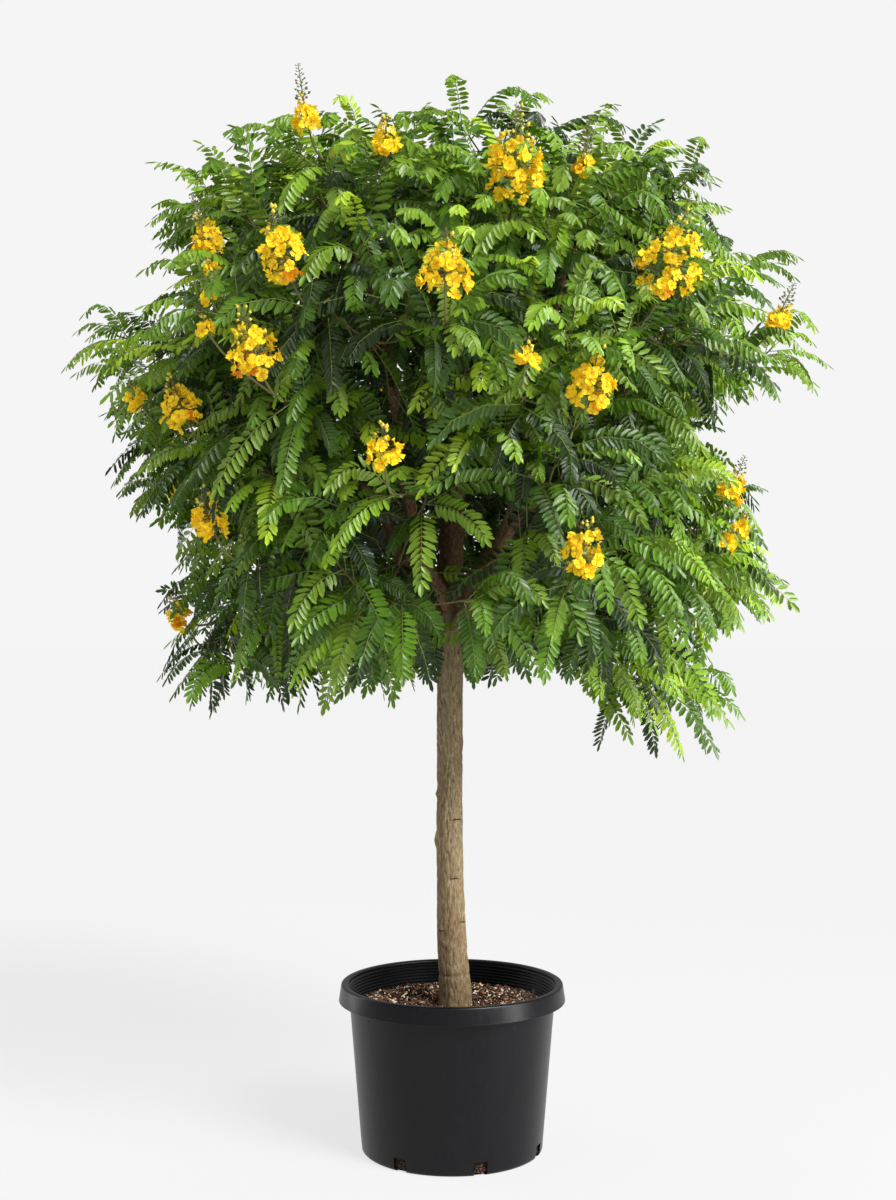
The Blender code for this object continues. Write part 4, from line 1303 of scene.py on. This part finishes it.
def petals(middles, facings, radii, rng):
    """Five petals round each flower's middle, no two crinkled alike."""
    axes = frames(facings, rng)
    shapes = []
    for k in range(5):
        turn = 2 * math.pi * k / 5
        crinkle = rng.uniform(0.3, 1.7, (len(middles), len(PETAL), 1))
        lift = rng.uniform(-0.25, 0.55, (len(middles), 1, 1)) * PETAL[:, 0][:, None] ** 2
        size = rng.uniform(0.82, 1.15, (len(middles), 1, 1))
        x = PETAL[:, 0] * math.cos(turn) - PETAL[:, 1] * math.sin(turn)
        y = PETAL[:, 0] * math.sin(turn) + PETAL[:, 1] * math.cos(turn)
        flat = axes[:, None, 0] * x[:, None] + axes[:, None, 1] * y[:, None]
        up = axes[:, None, 2] * (PETAL[:, 2][:, None] * crinkle + lift)
        shapes.append(middles[:, None] + (flat + up) * size * radii[:, None, None])
    return np.concatenate(shapes)


def buds(middles, facings, widths, stretch, rng):
    """Small eight-sided lumps, as long as stretch times their width."""
    axes = frames(facings, rng)
    local = (axes[:, None, 0] * BUD[:, 0][:, None] + axes[:, None, 1] * BUD[:, 1][:, None]
             + axes[:, None, 2] * (BUD[:, 2] * stretch)[:, None])
    return middles[:, None] + local * widths[:, None, None]


# %% Racemes
flower_heap, wilted_heap, eye_heap = Heap(), Heap(), Heap()
yellow_bud_heap, dark_bud_heap, stalk_heap = Heap(), Heap(), Heap()
shoot_tips = np.array([shoot.end for shoot in shoots])


def add_stems(feet, tips, radii):
    """A three-sided stem from each foot to its tip."""
    add_tubes(stalk_heap, np.stack([feet, tips], 1), np.tile(radii, (len(feet), 1)), 3)


for root, size, spike in racemes:
    out = unit(np.array((root[0], root[1], 0)))
    axis = unit(out * 0.45 + np.array((0, 0, 1)) + rng.normal(0, 0.08, 3))
    top = root + axis * size * (0.75 + spike)
    nearest = shoot_tips[np.linalg.norm(shoot_tips - (root - axis * 0.08), axis=1).argmin()]
    stalk = curve_through(nearest, root - axis * 0.05, root + axis * size * 0.3, 5)
    add_tubes(stalk_heap, stalk[None], np.linspace(0.0026, 0.0020, 6)[None], 5)
    spine = np.stack([root + axis * size * 0.25, root + axis * size * 0.6 + rng.normal(0, 0.003, 3), top])
    add_tubes(stalk_heap, spine[None], np.array((0.0020, 0.0014, 0.0006))[None], 5)

    # open flowers, a few of the lowest ones wilted, each with its middle and its stem
    count = int(FLOWERS_EACH * (size / FULL_SIZE) ** 1.3)
    share = np.clip(rng.beta(1.5, 1.9, count) * 0.78, 0, 0.75)
    ring = round_axis(axis, np.arange(count) * GOLDEN_TURN + rng.normal(0, 0.3, count))
    swell = np.interp(share, *zip(*RACEME_SHAPE)) * size * rng.uniform(0.75, 1.15, count)
    base = root + axis * (share * size)[:, None]
    middles = base + ring * swell[:, None] - np.array((0, 0, 0.008))
    facings = unit(ring + axis * 0.35 + rng.normal(0, 0.38, (count, 3)))
    radii = rng.uniform(*FLOWER_RADIUS, count)
    wilted = (rng.random(count) < WILTED_SHARE) & (share < WILTED_BELOW)
    for heap, chosen in ((flower_heap, ~wilted), (wilted_heap, wilted)):
        if chosen.any():
            heap.stamp(petals(middles[chosen], facings[chosen], radii[chosen], rng), PETAL_FACES)
    eyes = middles + facings * radii[:, None] * 0.16
    eye_heap.stamp(buds(eyes, facings, radii * 0.15, 1.2, rng), BUD_FACES)
    add_stems(base - axis * 0.010, middles - facings * 0.003, (0.0009, 0.0007))

    # yellow buds among them
    count = int(BUDS_EACH * size / FULL_SIZE)
    share = rng.uniform(0.30, 0.95, count)
    ring = unit(rng.normal(0, 1, (count, 3)) + out * 0.6)
    swell = np.interp(share, *zip(*YELLOW_REACH)) * size
    middles = root + axis * (share * size)[:, None] + ring * swell[:, None]
    widths = rng.uniform(0.0036, 0.0052, count)
    yellow_bud_heap.stamp(buds(middles, unit(ring + axis), widths, 1.35, rng), BUD_FACES)
    add_stems(root + axis * (share * size - 0.012)[:, None], middles, (0.0008, 0.0006))

    # the spike of dark buds, smaller towards its tip
    count = int(5 + 26 * spike)
    share = SPIKE_START + spike * (np.arange(count) + 0.5) / count
    ring = round_axis(axis, np.arange(count) * GOLDEN_TURN)
    taper = np.linspace(1, 0.35, count)
    base = root + axis * (share * size)[:, None]
    middles = base + (ring * 0.014 + axis * 0.006) * taper[:, None]
    dark_bud_heap.stamp(buds(middles, unit(ring + axis * 0.8), 0.0034 * taper, 1.4, rng), BUD_FACES)
    add_stems(base, middles, (0.0007, 0.0005))

# %% Petal finishes
PETAL_GLOW = 0.28  # share of light that goes through


def petal_finish(name, light, rich, glow):
    finish = Finish(name, Roughness=0.55, Specular_IOR_Level=0.25)
    crinkle = finish.noise(0.006, detail=3)
    finish.colour(finish.mix(finish.between(crinkle, -0.35, 1.35), light, rich))
    finish.bump(crinkle, 0.0010, 0.5)
    finish.let_light_through(PETAL_GLOW, glow)
    return finish


petal = petal_finish("petal", rgb(255, 231, 54), rgb(255, 207, 16), rgb(255, 220, 30))
faded_petal = petal_finish("faded petal", rgb(240, 170, 24), rgb(214, 124, 14), rgb(235, 150, 20))
eye = two_tone("flower middle", 0.003, rgb(240, 160, 14), rgb(206, 116, 8), Roughness=0.6)
yellow_bud = two_tone("yellow bud", 0.004, rgb(228, 200, 60), rgb(186, 176, 56), Roughness=0.45)
dark_bud = two_tone("green bud", 0.003, rgb(74, 82, 36), rgb(112, 112, 52), Roughness=0.5)
flower_stalk = two_tone("flower stalk", 0.01, rgb(112, 118, 56), rgb(92, 86, 48), Roughness=0.6)
flower_heap.piece("petals", petal, "foliage", smooth=False)
wilted_heap.piece("faded_petals", faded_petal, "foliage", smooth=False)
eye_heap.piece("flower_middles", eye, "foliage")
yellow_bud_heap.piece("yellow_buds", yellow_bud, "foliage")
dark_bud_heap.piece("green_buds", dark_bud, "foliage")
stalk_heap.piece("flower_stalks", flower_stalk, "foliage")

# %% [markdown]
# ## The nursery pot
#
# A nursery pot is thin black plastic, moulded in one shot: a tapered wall, a deep rolled rim,
# ribs inside the collar and drain holes round the foot. The wall is a profile turned round
# the middle with a Screw, with rounded corners that catch the light, and a Boolean cuts the holes.

# %% Pot
POT_HEIGHT = 0.370
POT_FOOT_RADIUS = 0.200
POT_NECK_RADIUS = 0.2270
POT_NECK_HEIGHT = 0.332
POT_WALL = 0.0045
RIM_INNER_RADIUS = 0.230
RIM_TOP_RADIUS = 0.2456
RIM_LIP_RADIUS = 0.2507
RIM_WALL = 0.004
DRAIN_HOLES = 7
DRAIN_TURNS = [math.radians(287.5 + 360 / DRAIN_HOLES * k) for k in range(DRAIN_HOLES)]
DRAIN_SIZE = 0.030
DRAIN_ROUNDING = 0.003
POT_TURNS = 160
COLLAR_RIBS = 7
RIB_DEPTH = 0.0016


def rounded(corners, steps=5):
    """Corners as (radius, height, rounding) turned into points with round arcs."""
    points = []
    for k, (x, z, size) in enumerate(corners):
        here = np.array((x, z))
        if size == 0 or k in (0, len(corners) - 1):
            points.append(here)
            continue
        before = unit(np.array(corners[k - 1][:2]) - here)
        after = unit(np.array(corners[k + 1][:2]) - here)
        for t in np.linspace(0, 1, steps):
            points.append(here + before * size * (1 - t) ** 2 + after * size * t ** 2)
    return points


def wall_radius(height):
    return POT_FOOT_RADIUS + (POT_NECK_RADIUS - POT_FOOT_RADIUS) / POT_NECK_HEIGHT * height


def turned(name, points, sides):
    """A profile of (radius, height) turned round the upright axis."""
    mesh = bpy.data.meshes.new(name)
    mesh.from_pydata([(x, 0, z) for x, z in points], [(k, k + 1) for k in range(len(points) - 1)], [])
    obj = bpy.data.objects.new(name, mesh)
    bpy.context.scene.collection.objects.link(obj)
    screw = obj.modifiers.new("Turn", "SCREW")
    screw.steps = screw.render_steps = sides
    screw.use_merge_vertices = True
    screw.merge_threshold = 0.00005
    return obj


def applied(obj):
    """Makes an object's modifiers part of its mesh."""
    bpy.context.view_layer.update()
    graph = bpy.context.evaluated_depsgraph_get()
    mesh = bpy.data.meshes.new_from_object(obj.evaluated_get(graph))
    obj.modifiers.clear()
    obj.data = mesh


inner_soil = wall_radius(SOIL_HEIGHT) - POT_WALL
collar = [(inner_soil - 0.0005, SOIL_HEIGHT - 0.012, 0)]
for k in range(COLLAR_RIBS * 4 + 1):
    share = k / (COLLAR_RIBS * 4)
    height = SOIL_HEIGHT - 0.006 + (POT_HEIGHT - 0.008 - SOIL_HEIGHT + 0.006) * share
    slope = inner_soil + (RIM_INNER_RADIUS - 0.001 - inner_soil) * share
    collar.append((slope + RIB_DEPTH * math.cos(2 * math.pi * COLLAR_RIBS * share), height, 0))
fold = POT_HEIGHT - RIM_WALL
profile = rounded([
    (0, POT_WALL, 0),
    (wall_radius(POT_WALL) - POT_WALL, POT_WALL, 0.002),
    *collar,
    (RIM_INNER_RADIUS - 0.0005, POT_HEIGHT - 0.003, 0.0015),
    (RIM_INNER_RADIUS + 0.003, POT_HEIGHT, 0.0025),
    (RIM_TOP_RADIUS - 0.0005, POT_HEIGHT, 0.0045),
    (RIM_LIP_RADIUS - 0.0004, POT_NECK_HEIGHT + 0.003, 0.0012),
    (RIM_LIP_RADIUS, POT_NECK_HEIGHT + 0.0016, 0.0008),
    (RIM_LIP_RADIUS, POT_NECK_HEIGHT, 0.0008),
    (RIM_LIP_RADIUS - RIM_WALL, POT_NECK_HEIGHT, 0.0008),
    (RIM_TOP_RADIUS - RIM_WALL, fold, 0.002),
    (RIM_INNER_RADIUS + RIM_WALL, fold, 0.002),
    (POT_NECK_RADIUS, POT_NECK_HEIGHT, 0.004),
    (POT_FOOT_RADIUS + 0.0022, 0.030, 0.004),
    (POT_FOOT_RADIUS + 0.0004, 0.0050, 0.004),
    (POT_FOOT_RADIUS - 0.0045, 0, 0.003),
    (0, 0, 0),
])
pot = turned("nursery_pot", profile, POT_TURNS)
cutters = bpy.data.collections.new("drain cutters")
bpy.context.scene.collection.children.link(cutters)
for turn in DRAIN_TURNS:
    mesh = bpy.data.meshes.new("drain")
    shape = bmesh.new()
    bmesh.ops.create_cube(shape, size=DRAIN_SIZE)
    bmesh.ops.bevel(shape, geom=list(shape.edges), offset=DRAIN_ROUNDING, segments=3,
                    affect="EDGES", profile=0.5)
    shape.to_mesh(mesh)
    shape.free()
    cutter = bpy.data.objects.new("drain", mesh)
    cutter.location = (POT_FOOT_RADIUS * math.cos(turn), POT_FOOT_RADIUS * math.sin(turn), DRAIN_SIZE / 2)
    cutter.rotation_euler = (0, 0, turn)
    cutters.objects.link(cutter)
drain = pot.modifiers.new("Drain holes", "BOOLEAN")
drain.operand_type = "COLLECTION"
drain.collection = cutters
applied(pot)
for cutter in list(cutters.objects):
    bpy.data.objects.remove(cutter)
bpy.data.collections.remove(cutters)
pot.data.shade_smooth()
pot.data.set_sharp_from_angle(angle=math.radians(38))

plastic = Finish("black plastic", Metallic=0.0, Specular_IOR_Level=0.24)
flow = plastic.noise(0.05, (1, 1, 0.22), detail=3)
scuffs = plastic.noise(0.010, (1, 1, 0.5), detail=6, roughness=0.7)
grain = plastic.noise(0.0011, detail=2)
dust = plastic.between(scuffs, -0.55, 0.65)
base = plastic.mix(plastic.between(flow, 0, 1), rgb(5, 5, 8), rgb(11, 11, 14))
plastic.colour(plastic.mix(dust, base, rgb(20, 20, 22)))
plastic.roughness(plastic.between(scuffs * 0.6 + flow * 0.4, 0.24, 0.46))
plastic.bump(flow * 1.2 + scuffs * 0.35 + grain * 0.10, 0.0011, 0.35)
dress(pot, plastic)
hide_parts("pot")

# %% [markdown]
# ## Potting mix
#
# Bark-based mix is thousands of brown chips with pale straw and white grains of perlite. A
# dark lumpy bed fills the gaps, and chips of four browns are strewn on it, some on edge.

# %% Potting mix
SOIL_DOME = 0.004
CHIPS = 5200
GRAINS = 420
SOIL_RADIUS = inner_soil - 0.0035
TRUNK_FOOT = 0.036
CHIP_SHARES = (0.38, 0.30, 0.18, 0.14)  # of the dark, brown, russet and straw ones
CHIPS_AT_DRAIN = 16
# one chip: a box with uneven corners
CHIP = np.array(((-1, -1, -1), (1, -0.8, -1), (0.9, 1, -1), (-1, 0.9, -1),
                 (-0.8, -1, 1), (1, -1, 0.9), (1, 0.9, 1), (-0.9, 1, 0.8))) / 2
CHIP_FACES = ((0, 2, 1), (0, 3, 2), (4, 5, 6), (4, 6, 7), (0, 1, 5), (0, 5, 4),
              (1, 2, 6), (1, 6, 5), (2, 3, 7), (2, 7, 6), (3, 0, 4), (3, 4, 7))


def soil_level(radius):
    """Height of the mix, heaped a little between the trunk and the wall."""
    shares = np.clip(radius / SOIL_RADIUS, 0, 1)
    return SOIL_HEIGHT + np.interp(shares, (0, 0.25, 0.7, 1), (0, 0, SOIL_DOME, -SOIL_DOME))


def chips(middles, sizes, tilt, rng):
    """Chips of the given sizes, which lie flat when tilt is 0."""
    facing = unit(np.array((0, 0, 1.0)) + rng.normal(0, tilt, (len(middles), 3)))
    axes = frames(facing, rng)
    wobble = CHIP[None] * rng.uniform(0.7, 1.15, (len(middles), 8, 3))
    local = sum(wobble[:, :, k, None] * (axes[:, None, k] * sizes[:, None, k, None]) for k in range(3))
    return middles[:, None] + local


def mix_finish(name, dark, pale):
    finish = Finish(name, Roughness=0.92, Specular_IOR_Level=0.2)
    fibres = finish.noise(0.004)
    finish.colour(finish.ramp(fibres, (0.3, dark), (0.7, pale)))
    finish.bump(fibres, 0.001, 0.6)
    return finish


mixes = {
    "dark": mix_finish("dark chips", rgb(32, 22, 16), rgb(60, 43, 31)),
    "brown": mix_finish("brown chips", rgb(64, 46, 34), rgb(98, 72, 54)),
    "russet": mix_finish("russet chips", rgb(98, 68, 48), rgb(142, 102, 74)),
    "straw": mix_finish("straw", rgb(190, 166, 132), rgb(228, 210, 182)),
}
bed_points = [(0, SOIL_HEIGHT - 0.006)]
bed_points += [(r, float(soil_level(r)) - 0.005) for r in np.linspace(0.02, SOIL_RADIUS, 14)]
bed_points += [(wall_radius(0.006) - POT_WALL - 0.003, 0.006), (0, 0.006)]
bed = turned("soil_bed", bed_points, 72)
applied(bed)
for vertex in bed.data.vertices:
    x, y, z = vertex.co
    if z > SOIL_HEIGHT - 0.02:
        lumps = 0.003 * noise.noise((x * 60, y * 60, 3)) + 0.0015 * noise.noise((x * 160, y * 160, 9))
        vertex.co.z += lumps
bed.data.shade_smooth()
dress(bed, mixes["dark"])
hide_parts("soil")

radius = SOIL_RADIUS * np.sqrt(rng.uniform((TRUNK_FOOT / SOIL_RADIUS) ** 2, 1, CHIPS))
turn = rng.uniform(0, 2 * np.pi, CHIPS)
middles = round_about(radius, turn, soil_level(radius) + rng.uniform(-0.004, 0.0025, CHIPS))
middles[:, 0] += 0.008 * (1 - radius / SOIL_RADIUS)  # the trunk's foot stands that far to the right
lengths_there = rng.gamma(5, 0.0022, CHIPS)
widths = rng.uniform(0.0025, 0.007, CHIPS)
sizes = np.stack([lengths_there, widths, rng.uniform(0.0012, 0.0032, CHIPS)], 1)
kind = rng.choice(list(mixes), CHIPS, p=CHIP_SHARES)
sizes[kind == "straw"] *= (0.9, 0.45, 0.7)
for name, finish in mixes.items():
    heap = Heap()
    heap.stamp(chips(middles[kind == name], sizes[kind == name], 0.50, rng), CHIP_FACES)
    for turn in DRAIN_TURNS if name in ("dark", "brown") else ():
        side = rng.uniform(-0.011, 0.011, CHIPS_AT_DRAIN)
        out = POT_FOOT_RADIUS - POT_WALL - rng.uniform(0.001, 0.006, CHIPS_AT_DRAIN)
        up = rng.uniform(0.006, 0.026, CHIPS_AT_DRAIN)
        spot = np.stack([out * math.cos(turn) - side * math.sin(turn),
                         out * math.sin(turn) + side * math.cos(turn), up], 1)
        drain_sizes = np.tile((0.009, 0.006, 0.003), (CHIPS_AT_DRAIN, 1))
        heap.stamp(chips(spot, drain_sizes, 0.9, rng), CHIP_FACES)
    heap.piece(f"{name}_chips", finish, "potting_mix", smooth=False)

perlite = two_tone("perlite", 0.003, rgb(236, 230, 218), rgb(196, 184, 164), Roughness=0.9)
radius = SOIL_RADIUS * np.sqrt(rng.uniform(0.04, 0.97, GRAINS))
turn = rng.uniform(0, 2 * np.pi, GRAINS)
middles = round_about(radius, turn, soil_level(radius) + rng.uniform(-0.001, 0.002, GRAINS))
sizes = rng.uniform(0.0018, 0.0042, (GRAINS, 1)) * np.ones(3)
heap = Heap()
heap.stamp(chips(middles, sizes, 1.0, rng), CHIP_FACES)
heap.piece("perlite_grains", perlite, "potting_mix", smooth=False)

# %% [markdown]
# ## Studio
#
# A pale floor under a bright, even sky of light, one broad lamp high on the right, a smaller
# light at each side, and a camera at chest height four metres off, which sees the tree as a
# person would.

# %% Floor, light and camera
FLOOR_SIZE = 60
BACKDROP = rgb(245, 245, 245)
DOME_STRENGTH = 0.54
KEY_STRENGTH = 4.25
FLOOR_PAINT = 0.13
FLOOR_GLOW = 0.732
CAMERA_PLACE = (-0.009, -4.0, 1.27)
CAMERA_PITCH = 0.76
CAMERA_LENS = 54.24

bpy.ops.mesh.primitive_grid_add(x_subdivisions=2, y_subdivisions=2, size=FLOOR_SIZE)
floor = bpy.context.active_object
floor.name = "studio_floor"
floor_tones = [(FLOOR_PAINT + change,) * 3 + (1,) for change in (-0.005, 0.005)]
paint = two_tone("lit floor", 1.5, *floor_tones, Roughness=0.8, Specular_IOR_Level=0.0,
                 Emission_Color=(1, 1, 1, 1), Emission_Strength=FLOOR_GLOW)
floor.data.materials.append(paint.material)

scene = bpy.context.scene
world = bpy.data.worlds.new("studio")
scene.world = world
world.use_nodes = True
air = world.node_tree
seen = air.nodes["Background"]
seen.inputs["Color"].default_value = BACKDROP
felt = air.nodes.new("ShaderNodeBackground")
felt.inputs["Strength"].default_value = DOME_STRENGTH
path = air.nodes.new("ShaderNodeLightPath")
both = air.nodes.new("ShaderNodeMixShader")
air.links.new(path.outputs["Is Camera Ray"], both.inputs[0])
air.links.new(felt.outputs[0], both.inputs[1])
air.links.new(seen.outputs[0], both.inputs[2])
air.links.new(both.outputs[0], air.nodes["World Output"].inputs["Surface"])
scene.view_settings.view_transform = "Standard"


def lamp(name, kind, energy, place, aim, **settings):
    light = bpy.data.lights.new(name, kind)
    light.energy = energy
    for key, value in settings.items():
        setattr(light, key, value)
    obj = bpy.data.objects.new(name, light)
    obj.location = place
    obj.rotation_euler = Vector(np.subtract(aim, place)).to_track_quat("-Z", "Y").to_euler()
    obj.visible_camera = False
    scene.collection.objects.link(obj)


lamp("key", "SUN", KEY_STRENGTH, (2.5, -2.8, 4.1), (0, 0, 1), angle=math.radians(24))
lamp("right box", "AREA", 85, (3.0, -1.5, 1.1), (0, 0, 0.5), shape="RECTANGLE", size=0.8, size_y=2.6)
lamp("left box", "AREA", 30, (-2.9, 1.3, 1.2), (0, 0, 0.6), shape="RECTANGLE", size=0.7, size_y=3.0)

lens = bpy.data.cameras.new("camera")
lens.lens = CAMERA_LENS
camera = bpy.data.objects.new("camera", lens)
camera.location = CAMERA_PLACE
camera.rotation_euler = (math.radians(90 - CAMERA_PITCH), 0, 0)
scene.collection.objects.link(camera)
scene.camera = camera

# %% [markdown]
# ## Sizes and the end
#
# The triangles of every piece that is drawn are counted.

# %% Finish
triangles = 0
for obj in scene.objects:
    if obj.type == "MESH" and not obj.hide_render:
        triangles += sum(len(face.vertices) - 2 for face in obj.data.polygons)
print("triangles in all:", triangles)
